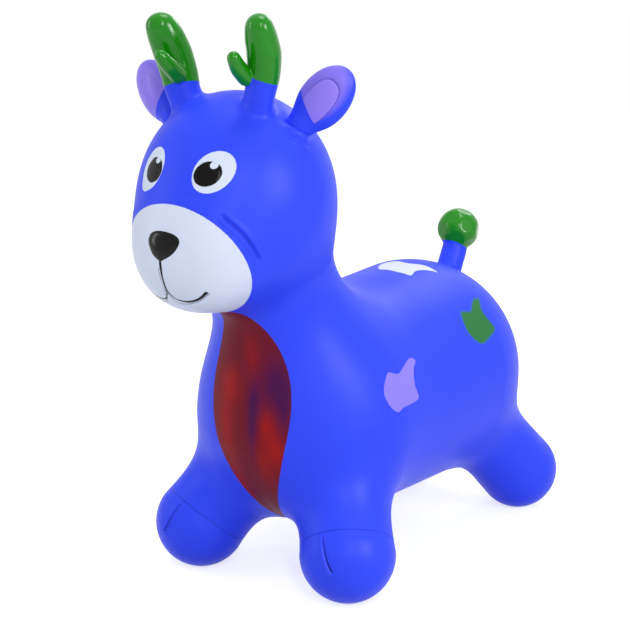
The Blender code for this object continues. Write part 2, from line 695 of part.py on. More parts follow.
def build_ears(head):
    """Two ears on short stalks, each with a lilac face."""
    for side, hand in ((1, "left"), (-1, "right")):
        name = f"ear_{hand}"
        root, base, tip = (mirrored(point, side) for point in (EAR_ROOT, EAR_BASE, EAR_TIP))
        across, facing, along = (mirrored(axis, side) for axis in ear_axes())
        pivot = between(root, base, EAR_JOINT_SHARE)
        reach = (tip - pivot).length * 2
        own, taken = limb_regions(name, pivot, tip - root, EAR_JOINT_RADIUS, EAR_JOINT_ANGLE, reach)
        low, high = box_round((EAR_ROOT, EAR_BASE, EAR_TIP), EAR_WIDTH / 2 + EAR_CELL)
        low.x = EAR_CLEAR_SPREAD
        box = mirrored_box(low, high, side)
        back = shell(name, *box, EAR_CELL, EAR_WIDTH, BLUE)
        face = shell(name + "_face", *box, EAR_CELL, EAR_WIDTH, LILAC)
        centre = between(base, tip, EAR_FACE_SHARE) + facing * EAR_THICKNESS / 2
        radii = Vector((EAR_FACE_WIDTH, EAR_THICKNESS, EAR_FACE_LENGTH)) / 2
        axes = (across * side, facing, along)
        cut(back, "INTERSECT", own)
        cut(back, "DIFFERENCE", ball_region(name + "_lilac_cut", centre, radii, SEAM_GAP, axes))
        cut(face, "INTERSECT", ball_region(name + "_lilac", centre, radii, 0.0, axes))
        cut(head, "DIFFERENCE", taken)
        joint_empty(name + "_joint", pivot, back, face)


def build_tail(trunk):
    """A blue stalk that flexes on the rump, with a green bobble."""
    pivot = between(TAIL_ROOT, TAIL_TOP, TAIL_JOINT_SHARE)
    axis = TAIL_TOP - TAIL_ROOT
    reach = (BOBBLE - pivot).length + BOBBLE_RADIUS * 3
    own, taken = limb_regions("tail", pivot, axis, TAIL_JOINT_RADIUS, TAIL_JOINT_ANGLE, reach)
    low, high = box_round((pivot, BOBBLE), BOBBLE_RADIUS + TAIL_CELL)
    stalk = shell("tail_stalk", low, high, TAIL_CELL, BOBBLE_RADIUS, BLUE)
    bobble = shell("tail_bobble", low, high, TAIL_CELL, BOBBLE_RADIUS, GREEN, 0.22)
    painted = Vector((BOBBLE_RADIUS + BOBBLE_PAINT_MARGIN,) * 3)
    cut(stalk, "INTERSECT", own)
    cut(stalk, "DIFFERENCE", ball_region("bobble_cut", BOBBLE, painted, SEAM_GAP))
    cut(bobble, "INTERSECT", ball_region("bobble", BOBBLE, painted))
    cut(trunk, "DIFFERENCE", taken)
    joint_empty("tail_joint", pivot, stalk, bobble)


def belly_point():
    """The lowest point of the trunk above the valve's place."""
    share = VALVE_BACK / TRUNK_LENGTH
    centre = between(CHEST, RUMP, share)
    radius = CHEST_RADIUS + (RUMP_RADIUS - CHEST_RADIUS) * share
    return Vector((0, centre.y, centre.z - radius))


def build_valve(trunk):
    """A collar through the belly, and the stopper that is pulled out to pump the deer up."""
    seat = belly_point() - Vector((0, 0, COLLAR_SEAT))
    low = -COLLAR_FLANGE
    collar = turned(
        "valve_collar",
        [
            (BORE_RADIUS, COLLAR_DEPTH),
            (COLLAR_NECK_RADIUS, COLLAR_DEPTH),
            (COLLAR_NECK_RADIUS, 0.0),
            (COLLAR_RADIUS, 0.0),
            (COLLAR_RADIUS, low),
            (BORE_RADIUS, low),
        ],
        FEWEST_FACETS,
    )
    top = low - SEAM_GAP
    shank = BORE_RADIUS - SEAM_GAP
    plug = turned(
        "air_plug",
        [
            (0.0, top + PLUG_LENGTH),
            (PLUG_TIP_RADIUS, top + PLUG_LENGTH),
            (shank, top + PLUG_LENGTH * 0.8),
            (shank, top),
            (PLUG_HEAD_RADIUS, top),
            (PLUG_HEAD_RADIUS, top - PLUG_HEAD_THICKNESS),
            (0.0, top - PLUG_HEAD_THICKNESS),
        ],
        FEWEST_FACETS,
    )
    for piece in (collar, plug):
        parts.objects.link(piece)
        piece.location = seat
        paint(piece, IVORY, 0.35)
    hole = turned(
        "valve_hole",
        [
            (0.0, COLLAR_DEPTH * 2),
            (COLLAR_NECK_RADIUS + SEAM_GAP, COLLAR_DEPTH * 2),
            (COLLAR_NECK_RADIUS + SEAM_GAP, -COLLAR_DEPTH),
            (0.0, -COLLAR_DEPTH),
        ],
        FEWEST_FACETS,
    )
    hole.location = seat
    cut(trunk, "DIFFERENCE", keep_cutter(hole))


def build_trunk():
    """The trunk that is sat on, and the red breast that is cut from its front wall."""
    spread = max(FRONT_FOOT.x + FRONT_FOOT_RADIUS, REAR_FOOT.x + REAR_FOOT_RADIUS) + BOX_MARGIN
    pivot = between(NECK_ROOT, NECK_TOP, NECK_JOINT_SHARE)
    low = Vector((-spread, min(FRONT_FOOT.y, NECK_TOP.y) - FRONT_FOOT_RADIUS - 2 * BOX_MARGIN, -BOX_MARGIN))
    high = Vector(
        (spread, REAR_FOOT.y + REAR_FOOT_RADIUS + BOX_MARGIN, pivot.z + NECK_JOINT_RADIUS + BOX_MARGIN / 2)
    )
    trunk = shell("trunk", low, high, TRUNK_CELL, CHEST_RADIUS, BLUE)
    breast = shell("breast", low, high, TRUNK_CELL, CHEST_RADIUS, RED)
    cut(breast, "INTERSECT", breast_region("breast_leaf"))
    cut(trunk, "DIFFERENCE", breast_region("breast_cut", SEAM_GAP))
    return trunk, breast


def build_deer():
    trunk, breast = build_trunk()
    head = build_head(trunk, breast)
    build_antlers(head)
    build_ears(head)
    build_feet(trunk)
    build_tail(trunk)
    build_valve(trunk)


build_deer()
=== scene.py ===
"""The looks of the bouncy ride-on deer, an inflatable hopper of soft sprayed PVC.

The skin is one smooth distance field, as in the part: tapered limbs and ovals that run into each
other with fillets. Geometry Nodes mesh the field, each piece of skin is a patch of such a mesh, and
sprayed areas are measured on the skin as distances that the finishes turn into paint. Painted shade
in the creases, moulded lines and hoof clefts, and a painted lighter oval on the right ear, are
measured the same way.
Units are metres. The deer stands on Z = 0 and faces -Y, with its left side at +X.
"""

from __future__ import annotations

import logging
import math
from collections.abc import Sequence
from dataclasses import dataclass, field
from enum import Enum

import bmesh
import bpy
import numpy as np
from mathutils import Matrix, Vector

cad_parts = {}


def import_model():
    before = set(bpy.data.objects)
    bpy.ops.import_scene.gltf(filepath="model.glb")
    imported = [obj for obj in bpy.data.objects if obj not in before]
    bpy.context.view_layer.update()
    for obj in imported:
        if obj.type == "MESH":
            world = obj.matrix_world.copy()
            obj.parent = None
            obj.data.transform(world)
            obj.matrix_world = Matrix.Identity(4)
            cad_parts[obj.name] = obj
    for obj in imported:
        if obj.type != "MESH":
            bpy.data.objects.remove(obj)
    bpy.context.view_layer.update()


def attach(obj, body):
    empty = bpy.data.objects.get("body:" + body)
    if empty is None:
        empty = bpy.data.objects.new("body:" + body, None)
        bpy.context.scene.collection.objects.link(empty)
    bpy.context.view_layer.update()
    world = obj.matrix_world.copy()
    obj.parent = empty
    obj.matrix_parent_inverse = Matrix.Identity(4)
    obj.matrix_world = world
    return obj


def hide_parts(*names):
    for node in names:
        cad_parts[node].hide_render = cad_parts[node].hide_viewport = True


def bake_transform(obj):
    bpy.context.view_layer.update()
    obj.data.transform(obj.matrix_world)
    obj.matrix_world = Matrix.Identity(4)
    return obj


LOG = logging.getLogger("ride_on_deer")

Place = tuple[float, float, float]
Spot = tuple[float, float]
Colour = tuple[float, float, float]
Points = np.ndarray
Values = np.ndarray


class Side(Enum):
    """The deer's two sides."""

    LEFT = 1
    RIGHT = -1

    @property
    def hand(self) -> str:
        """The side's name as pieces and bodies use it."""
        return self.name.lower()

    def place(self, point: Place) -> Place:
        """A point of the left side, or its twin on this side."""
        return (self.value * point[0], point[1], point[2])

    def box(self, low: Place, high: Place) -> tuple[Place, Place]:
        """A box of the left side, or its twin on this side."""
        if self is Side.LEFT:
            return low, high
        return (-high[0], low[1], low[2]), (-low[0], high[1], high[2])


class FieldNodes:
    """Adds the nodes of a distance field to a Geometry Nodes tree."""

    def __init__(self, tree: bpy.types.NodeTree) -> None:
        """Starts from the place that is measured.

        Args:
            tree: The Geometry Nodes tree that takes the nodes.
        """
        self.tree = tree
        self.place = tree.nodes.new("GeometryNodeInputPosition").outputs[0]
        self.left_place = self.folded()

    def node(self, kind: str, operation: str, inputs: Sequence[object]) -> bpy.types.Node:
        """Adds a node, linking each input that is a socket and setting each that is a value.

        Args:
            kind: The node's type.
            operation: What it works out.
            inputs: A socket, a value or None for each input in order.

        Returns:
            The new node.
        """
        node = self.tree.nodes.new(kind)
        node.operation = operation
        for socket, value in zip(node.inputs, inputs):
            if isinstance(value, bpy.types.NodeSocket):
                self.tree.links.new(value, socket)
            elif value is not None:
                socket.default_value = value
        return node

    def math(self, operation: str, *values: object, clamped: bool = False) -> bpy.types.NodeSocket:
        """Works out a number from numbers.

        Args:
            operation: What is worked out.
            values: A socket or a value for each input.
            clamped: Whether the number is kept between 0 and 1.

        Returns:
            The number.
        """
        node = self.node("ShaderNodeMath", operation, values)
        node.use_clamp = clamped
        return node.outputs[0]

    def vector(self, operation: str, *values: object) -> bpy.types.NodeSocket:
        """A vector worked out from vectors."""
        return self.node("ShaderNodeVectorMath", operation, values).outputs[0]

    def measure(self, operation: str, *values: object) -> bpy.types.NodeSocket:
        """A number worked out from vectors."""
        return self.node("ShaderNodeVectorMath", operation, values).outputs["Value"]

    def folded(self) -> bpy.types.NodeSocket:
        """Folds the right half of the place over the left, for paired limbs.

        Returns:
            The folded place.
        """
        split = self.tree.nodes.new("ShaderNodeSeparateXYZ")
        self.tree.links.new(self.place, split.inputs[0])
        joined = self.tree.nodes.new("ShaderNodeCombineXYZ")
        self.tree.links.new(self.math("ABSOLUTE", split.outputs[0]), joined.inputs[0])
        self.tree.links.new(split.outputs[1], joined.inputs[1])
        self.tree.links.new(split.outputs[2], joined.inputs[2])
        return joined.outputs[0]


def folded(points: Points) -> Points:
    """Folds the right half over the left.

    Args:
        points: The points, one row each.

    Returns:
        The folded points.
    """
    twin = points.copy()
    twin[:, 0] = np.abs(twin[:, 0])
    return twin


@dataclass(frozen=True)
class Limb:
    """A limb whose radius runs evenly from one end to the other, and which is wider along its flat."""

    start: Place
    end: Place
    start_radius: float
    end_radius: float
    paired: bool = False
    flat: Place = (0.0, 0.0, 0.0)

    def measure(self, points: Points) -> Values:
        """The distance of each point to the limb.

        Args:
            points: The points, one row each.

        Returns:
            The distances, near enough close to the limb and negative inside it.
        """
        place = folded(points) if self.paired else points
        flat = np.array(self.flat)
        axis = np.subtract(self.end, self.start)
        axis = axis - flat * (axis @ flat)
        along = place - np.array(self.start)
        along = along - (along @ flat)[:, None] * flat
        share = np.clip(along @ axis / (axis @ axis), 0.0, 1.0)
        away = np.linalg.norm(along - share[:, None] * axis, axis=1)
        return away - (self.start_radius + share * (self.end_radius - self.start_radius))

    def wire(self, nodes: FieldNodes) -> bpy.types.NodeSocket:
        """The same distance as nodes.

        Args:
            nodes: Where the nodes are added.

        Returns:
            The distance.
        """
        flat = Vector(self.flat)
        axis = Vector(self.end) - Vector(self.start)
        axis -= flat * axis.dot(flat)
        along = nodes.vector("SUBTRACT", nodes.left_place if self.paired else nodes.place, self.start)
        if flat.length:
            narrowed = nodes.vector("SCALE", flat, None, None, nodes.measure("DOT_PRODUCT", along, flat))
            along = nodes.vector("SUBTRACT", along, narrowed)
        share = nodes.measure("DOT_PRODUCT", along, axis / axis.length_squared)
        share = nodes.math("ADD", share, 0.0, clamped=True)
        away = nodes.measure("DISTANCE", along, nodes.vector("SCALE", axis, None, None, share))
        radius = nodes.math("MULTIPLY_ADD", share, self.end_radius - self.start_radius, self.start_radius)
        return nodes.math("SUBTRACT", away, radius)

    def along(self, distance: float) -> Place:
        """The point of the axis at a distance from the start."""
        axis = Vector(self.end) - Vector(self.start)
        return tuple(Vector(self.start) + axis.normalized() * distance)


@dataclass(frozen=True)
class Oval:
    """An ellipsoid, turned to three unit axes where they are given."""

    # Keeps the distance finite at the centre
    TINY = 1e-4

    centre: Place
    radii: Place
    axes: tuple[Place, Place, Place] | None = None
    paired: bool = False

    def measure(self, points: Points) -> Values:
        """The distance of each point to the oval.

        Args:
            points: The points, one row each.

        Returns:
            The distances, near enough close to the oval and negative inside it.
        """
        offset = (folded(points) if self.paired else points) - np.array(self.centre)
        if self.axes:
            offset = offset @ np.array(self.axes).T
        first = np.linalg.norm(offset / self.radii, axis=1) + self.TINY
        second = np.linalg.norm(offset / np.square(self.radii), axis=1) + self.TINY / max(self.radii)
        return first * (first - 1.0) / second

    def wire(self, nodes: FieldNodes) -> bpy.types.NodeSocket:
        """The same distance as nodes.

        Args:
            nodes: Where the nodes are added.

        Returns:
            The distance.
        """
        offset = nodes.vector("SUBTRACT", nodes.left_place if self.paired else nodes.place, self.centre)
        if self.axes:
            turned = nodes.tree.nodes.new("ShaderNodeCombineXYZ")
            for axis, socket in zip(self.axes, turned.inputs):
                nodes.tree.links.new(nodes.measure("DOT_PRODUCT", offset, axis), socket)
            offset = turned.outputs[0]
        scaled = nodes.vector("DIVIDE", offset, self.radii)
        first = nodes.math("ADD", nodes.measure("LENGTH", scaled), self.TINY)
        steepness = nodes.measure("LENGTH", nodes.vector("DIVIDE", scaled, self.radii))
        second = nodes.math("ADD", steepness, self.TINY / max(self.radii))
        excess = nodes.math("SUBTRACT", first, 1.0)
        return nodes.math("DIVIDE", nodes.math("MULTIPLY", first, excess), second)


@dataclass(frozen=True)
class Fused:
    """Two forms that run into each other with a fillet."""

    first: Form
    second: Form
    fillet: float

    def measure(self, points: Points) -> Values:
        """The distance of each point to the fused form.

        Args:
            points: The points, one row each.

        Returns:
            The distances, negative inside.
        """
        one, two = self.first.measure(points), self.second.measure(points)
        share = np.maximum(self.fillet - np.abs(one - two), 0.0) / self.fillet
        return np.minimum(one, two) - share**3 * self.fillet / 6.0

    def wire(self, nodes: FieldNodes) -> bpy.types.NodeSocket:
        """The same distance as nodes."""
        return nodes.math("SMOOTH_MIN", self.first.wire(nodes), self.second.wire(nodes), self.fillet)


Form = Limb | Oval | Fused


def bent_limb(places: Sequence[Place], radii: Sequence[float], flat: Place = (0.0, 0.0, 0.0)) -> Form:
    """A paired limb that runs in a smooth bend.

    Args:
        places: The places that its axis runs through.
        radii: Its radius at each of them.
        flat: The way in which it is wider.

    Returns:
        The limb, in short straight lengths.
    """
    lengths = 5
    join = 0.0016
    axis = [tuple(place) for place in smooth_path(places, lengths)]
    widths = np.interp(np.arange(len(axis)) / lengths, np.arange(len(radii)), radii)
    form = None
    for start, end, first, last in zip(axis, axis[1:], widths, widths[1:]):
        limb = Limb(start, end, float(first), float(last), True, flat)
        form = Fused(form, limb, join) if form else limb
    return form


def placed(name: str, data: bpy.types.ID) -> bpy.types.Object:
    """Puts an object in the scene.

    Args:
        name: The object's name.
        data: Its mesh, lamp or camera.

    Returns:
        The object.
    """
    obj = bpy.data.objects.new(name, data)
    bpy.context.scene.collection.objects.link(obj)
    return obj


def smooth_object(name: str, mesh: bpy.types.Mesh, sharp_angle: float) -> bpy.types.Object:
    """Puts a smooth object in the scene.

    Args:
        name: The object's name.
        mesh: Its mesh.
        sharp_angle: Edges that bend more than this stay sharp.

    Returns:
        The object.
    """
    mesh.shade_smooth()
    mesh.set_sharp_from_angle(angle=sharp_angle)
    mesh.name = name
    return placed(name, mesh)


class SkinMesher:
    """A Geometry Nodes tree that meshes a form inside a box, with flat caps where the box cuts it."""

    OUTSIDE = -1.0
    INPUTS = {
        "Low Corner": "NodeSocketVector",
        "High Corner": "NodeSocketVector",
        "Cells X": "NodeSocketInt",
        "Cells Y": "NodeSocketInt",
        "Cells Z": "NodeSocketInt",
        "Finish": "NodeSocketMaterial",
    }

    def __init__(self, name: str, form: Form) -> None:
        """Builds the tree.

        Args:
            name: The tree's name.
            form: What it meshes.
        """
        self.tree = bpy.data.node_groups.new(name, "GeometryNodeTree")
        face = self.tree.interface
        self.sockets = {
            label: face.new_socket(label, in_out="INPUT", socket_type=kind).identifier
            for label, kind in self.INPUTS.items()
        }
        face.new_socket("Skin", in_out="OUTPUT", socket_type="NodeSocketGeometry")
        given = self.tree.nodes.new("NodeGroupInput")
        nodes = FieldNodes(self.tree)
        grid = self.tree.nodes.new("GeometryNodeVolumeCube")
        grid.inputs["Background"].default_value = self.OUTSIDE
        self.link(nodes.math("MULTIPLY", form.wire(nodes), -1.0), grid.inputs["Density"])
        self.link(given.outputs["Low Corner"], grid.inputs["Min"])
        self.link(given.outputs["High Corner"], grid.inputs["Max"])
        for axis in "XYZ":
            self.link(given.outputs["Cells " + axis], grid.inputs["Resolution " + axis])
        meshed = self.tree.nodes.new("GeometryNodeVolumeToMesh")
        meshed.resolution_mode = "GRID"
        meshed.inputs["Threshold"].default_value = 0.0
        real = self.tree.nodes.new("GeometryNodeRealizeInstances")
        dressed = self.tree.nodes.new("GeometryNodeSetMaterial")
        output = self.tree.nodes.new("NodeGroupOutput")
        self.link(grid.outputs[0], meshed.inputs["Volume"])
        self.link(meshed.outputs[0], real.inputs[0])
        self.link(real.outputs[0], dressed.inputs["Geometry"])
        self.link(given.outputs["Finish"], dressed.inputs["Material"])
        self.link(dressed.outputs[0], output.inputs[0])

    def link(self, start: bpy.types.NodeSocket, end: bpy.types.NodeSocket) -> None:
        """Joins two sockets."""
        self.tree.links.new(start, end)

    def mesh(
        self, name: str, low: Place, high: Place, cell: float, finish: bpy.types.Material
    ) -> bpy.types.Mesh:
        """Meshes the form.

        Args:
            name: The mesh's name.
            low: The box's lowest corner.
            high: The box's highest corner.
            cell: The size of a mesh cell.
            finish: The material.

        Returns:
            A plain mesh.
        """
        obj = placed(name, bpy.data.meshes.new(name))
        modifier = obj.modifiers.new("skin", "NODES")
        modifier.node_group = self.tree
        modifier[self.sockets["Low Corner"]] = low
        modifier[self.sockets["High Corner"]] = high
        for axis, start, end in zip("XYZ", low, high):
            modifier[self.sockets["Cells " + axis]] = math.ceil((end - start) / cell) + 1
        modifier[self.sockets["Finish"]] = finish
        graph = bpy.context.evaluated_depsgraph_get()
        mesh = bpy.data.meshes.new_from_object(obj.evaluated_get(graph))
        bpy.data.objects.remove(obj)
        mesh.name = name
        return mesh


class SkinPatch:
    """A piece of skin while it is made: its points on the form, its relief and its paint."""

    SETTLING_STEPS = 5
    # How far a patch stands out over the skin below it
    PROUD = 0.00004
    # How far the rim of a patch is turned in
    LIP = 0.002
    # How many cells within its box a mesh is kept, which leaves its flat caps out
    CUT_CELLS = 0.8
    SHARP_ANGLE = math.radians(60)

    def __init__(
        self, name: str, form: Form, box: tuple[Place, Place], cell: float, finish: bpy.types.Material
    ) -> None:
        """Meshes the form and settles the mesh exactly on it.

        Args:
            name: The piece's name.
            form: The form whose surface the skin is.
            box: The lowest and highest corner of what is meshed.
            cell: The size of a mesh cell.
            finish: The material.
        """
        self.mesh = SkinMesher(name, form).mesh(name, *box, cell, finish)
        inset = self.CUT_CELLS * cell
        low, high = np.array(box[0]) + inset, np.array(box[1]) - inset
        points = self.points()
        self.keep(((points > low) & (points < high)).all(axis=1))
        for _ in range(self.SETTLING_STEPS):
            points = self.points()
            self.put(points - self.normals() * form.measure(points)[:, None])

    def points(self) -> Points:
        """The place of every vertex."""
        return self.read("co")

    def normals(self) -> Points:
        """The direction out of the skin at every vertex."""
        return self.read("normal")

    def read(self, what: str) -> Points:
        """Reads one triple for every vertex.

        Args:
            what: The name of what is read.

        Returns:
            The triples.
        """
        flat = np.empty(len(self.mesh.vertices) * 3, dtype=np.float32)
        self.mesh.vertices.foreach_get(what, flat)
        return flat.reshape(-1, 3).astype(float)

    def put(self, points: Points) -> None:
        """Moves every vertex to its given place."""
        self.mesh.vertices.foreach_set("co", points.astype(np.float32).ravel())
        self.mesh.update()

    def swell(self, heights: Values | float) -> None:
        """Moves every vertex out of the skin by its height."""
        self.put(self.points() + self.normals() * np.broadcast_to(heights, len(self.mesh.vertices))[:, None])

    def keep(self, wanted: Values) -> None:
        """Removes every vertex that isn't wanted.

        Args:
            wanted: For every vertex, whether it stays.
        """
        shape = bmesh.new()
        shape.from_mesh(self.mesh)
        shape.verts.ensure_lookup_table()
        unwanted = [shape.verts[i] for i in np.flatnonzero(~wanted)]
        bmesh.ops.delete(shape, geom=unwanted, context="VERTS")
        shape.to_mesh(self.mesh)
        shape.free()
        self.mesh.update()

    def half(self, side: Side) -> SkinPatch:
        """The faces of one side as a patch of their own, which meet those of the other side exactly.

        Args:
            side: The side that is kept.

        Returns:
            The new patch.
        """
        twin = object.__new__(SkinPatch)
        twin.mesh = self.mesh.copy()
        shape = bmesh.new()
        shape.from_mesh(twin.mesh)
        other = [face for face in shape.faces if face.calc_center_median().x * side.value < 0]
        bmesh.ops.delete(shape, geom=other, context="FACES")
        shape.to_mesh(twin.mesh)
        shape.free()
        twin.mesh.update()
        return twin

    def spray(self, layers: dict[str, Values]) -> None:
        """Stores how far inside each sprayed layer every vertex lies.

        Args:
            layers: The distances of each layer, positive inside it.
        """
        for layer, distance in layers.items():
            attribute = self.mesh.attributes.new(layer, "FLOAT", "POINT")
            attribute.data.foreach_set("value", distance.astype(np.float32))

    def turn_in_rim(self) -> None:
        """Gives an open patch a lip that runs into the skin below it."""
        shape = bmesh.new()
        shape.from_mesh(self.mesh)
        shape.normal_update()
        rim = [edge for edge in shape.edges if edge.is_boundary]
        lip = bmesh.ops.extrude_edge_only(shape, edges=rim)["geom"]
        for vertex in (part for part in lip if isinstance(part, bmesh.types.BMVert)):
            neighbour = next(edge.other_vert(vertex) for edge in vertex.link_edges if not edge.is_boundary)
            vertex.co = neighbour.co - neighbour.normal * self.LIP
        shape.to_mesh(self.mesh)
        shape.free()
        self.mesh.update()

    def finished(self, name: str) -> bpy.types.Object:
        """The patch as a smooth object in the scene."""
        return smooth_object(name, self.mesh, self.SHARP_ANGLE)


def smooth_path(corners: Sequence[Place], steps: int = 12) -> Points:
    """A smooth path through the corners.

    Args:
        corners: The points it passes through.
        steps: How many points lie between two corners.

    Returns:
        Its points.
    """
    ring = np.array([corners[0], *corners, corners[-1]], dtype=float)
    path = []
    for before, start, end, after in zip(ring, ring[1:], ring[2:], ring[3:]):
        for t in np.arange(steps) / steps:
            bend = 2 * start + (end - before) * t + (2 * before - 5 * start + 4 * end - after) * t**2
            path.append((bend + (3 * start - before - 3 * end + after) * t**3) / 2)
    return np.array([*path, ring[-1]])


def along_path(points: Points, path: Points) -> tuple[Values, Values]:
    """Where each point lies against a path.

    Args:
        points: The points, one row each.
        path: The points of the path.

    Returns:
        How far each point is from the path, and how far along it, between 0 and 1.
    """
    nearest = np.full(len(points), np.inf)
    place = np.zeros(len(points))
    for index, (start, end) in enumerate(zip(path, path[1:])):
        axis = end - start
        along = points - start
        share = np.clip(along @ axis / (axis @ axis), 0.0, 1.0)
        away = np.linalg.norm(along - share[:, None] * axis, axis=1)
        place = np.where(away < nearest, (index + share) / (len(path) - 1), place)
        nearest = np.minimum(nearest, away)
    return nearest, place


def bell(values: Values, spread: float) -> Values:
    """1 where the values are zero, and falling smoothly on both sides."""
    return np.exp(-((values / spread) ** 2))


@dataclass(frozen=True)
class Groove:
    """A soft groove along a path, which runs out at both ends and may have raised rims."""

    width: float
    depth: float
    rim: float = 0.0
    # In widths of the groove, and for the run-out in shares of the path
    rim_place: float = 2.6
    rim_spread: float = 1.3
    run_out: float = 0.12

    def height(self, points: Points, corners: Sequence[Place]) -> Values:
        """How high the groove stands at each point.

        Args:
            points: The points, one row each.
            corners: What the groove's path runs through.

        Returns:
            The heights, negative in the groove.
        """
        away, place = along_path(points, smooth_path(corners))
        rims = self.rim * bell(away - self.rim_place * self.width, self.rim_spread * self.width)
        height = rims - self.depth * bell(away, self.width)
        return height * smoothstep(np.minimum(place, 1.0 - place), 0.0, self.run_out)


def smooth_loop(corners: Sequence[Spot], steps: int = 6) -> Points:
    """A smooth closed outline through the corners."""
    ring = [(across, up, 0.0) for across, up in corners]
    return smooth_path([*ring[-2:], *ring, *ring[:2]], steps)[2 * steps : -steps - 1, :2]


# Stands for the rise of a level stretch of an outline, which no level line crosses
LEVEL = 1e-9


def outline_depth(spots: Points, corners: Sequence[Spot]) -> Values:
    """How far inside a smooth closed outline each flat point lies.

    Args:
        spots: Flat points, one row each.
        corners: The outline's corners in order.

    Returns:
        The distance, positive inside.
    """
    ring = smooth_loop(corners)
    away = np.full(len(spots), np.inf)
    inside = np.zeros(len(spots), dtype=bool)
    for start, end in zip(ring, np.roll(ring, -1, axis=0)):
        axis = end - start
        along = spots - start
        share = np.clip(along @ axis / (axis @ axis), 0.0, 1.0)
        away = np.minimum(away, np.linalg.norm(along - share[:, None] * axis, axis=1))
        crosses = (start[1] > spots[:, 1]) != (end[1] > spots[:, 1])
        rise = axis[1] or LEVEL
        inside ^= crosses & (spots[:, 0] < axis[0] * (spots[:, 1] - start[1]) / rise + start[0])
    return np.where(inside, away, -away)


def smoothstep(values: Values, start: float, end: float) -> Values:
    """A smooth rise from 0 at the start to 1 at the end."""
    share = np.clip((values - start) / (end - start), 0.0, 1.0)
    return share * share * (3.0 - 2.0 * share)


@dataclass(frozen=True)
class Coat:
    """A sprayed colour with its gloss, or the colour of painted shade or light."""

    colour: Colour
    roughness: float
    bright: Colour | None = None
    shade: Colour | None = None
    lacquer: float = 0.0


BLUE = Coat((0.032, 0.072, 1.0), 0.42)
RED = Coat((0.150, 0.003, 0.018), 0.48, (0.36, 0.008, 0.006), (0.062, 0.002, 0.062))
WHITE = Coat((0.70, 0.775, 0.95), 0.34)
GREEN = Coat((0.006, 0.245, 0.001), 0.24, lacquer=0.36)
MATT_GREEN = Coat((0.024, 0.185, 0.050), 0.36)
LILAC = Coat((0.25, 0.185, 0.90), 0.36)
# Painted shade: the deep lilac laid along the moulded line round the ear's oval
OVAL_SHADE_LILAC = Coat((0.10, 0.08, 0.55), 0.36)
BRIGHT_LILAC = Coat((0.32, 0.23, 1.0), 0.26)
PALE_LILAC = Coat((0.295, 0.235, 0.98), 0.38)
# Painted shade: the darker blue laid along the cheek's crease
CREASE_SHADE_BLUE = Coat((0.024, 0.045, 0.62), 0.40)
# Painted shade: the dark blue laid in the hoof clefts and in the moulded lines
RECESS_SHADE_BLUE = Coat((0.012, 0.020, 0.40), 0.45)
# Painted shade: the grey laid along the moulded groove beside the painted mouth
GROOVE_SHADE_GREY = Coat((0.36, 0.39, 0.50), 0.40)
BLACK = Coat((0.0008, 0.0008, 0.001), 0.18)
IVORY = Coat((0.78, 0.77, 0.72), 0.40)


@dataclass(frozen=True)
class Layer:
    """A coat that covers the skin where its distance is above zero."""

    name: str
    coat: Coat
    softness: float = 0.0005


@dataclass(frozen=True)
class Grain:
    """A soft random pattern in a skin."""

    scale: float
    detail: float
    height: float = 1.0


CLOUDING = Grain(24.0, 3.0)
RAGGED_EDGE = Grain(420.0, 2.0, 0.0006)
GLOSS_CLOUDING = Grain(55.0, 4.0, 0.10)
MOULD_GRAIN = Grain(900.0, 2.0, 0.00003)
SOFT_DENTS = Grain(38.0, 2.0)


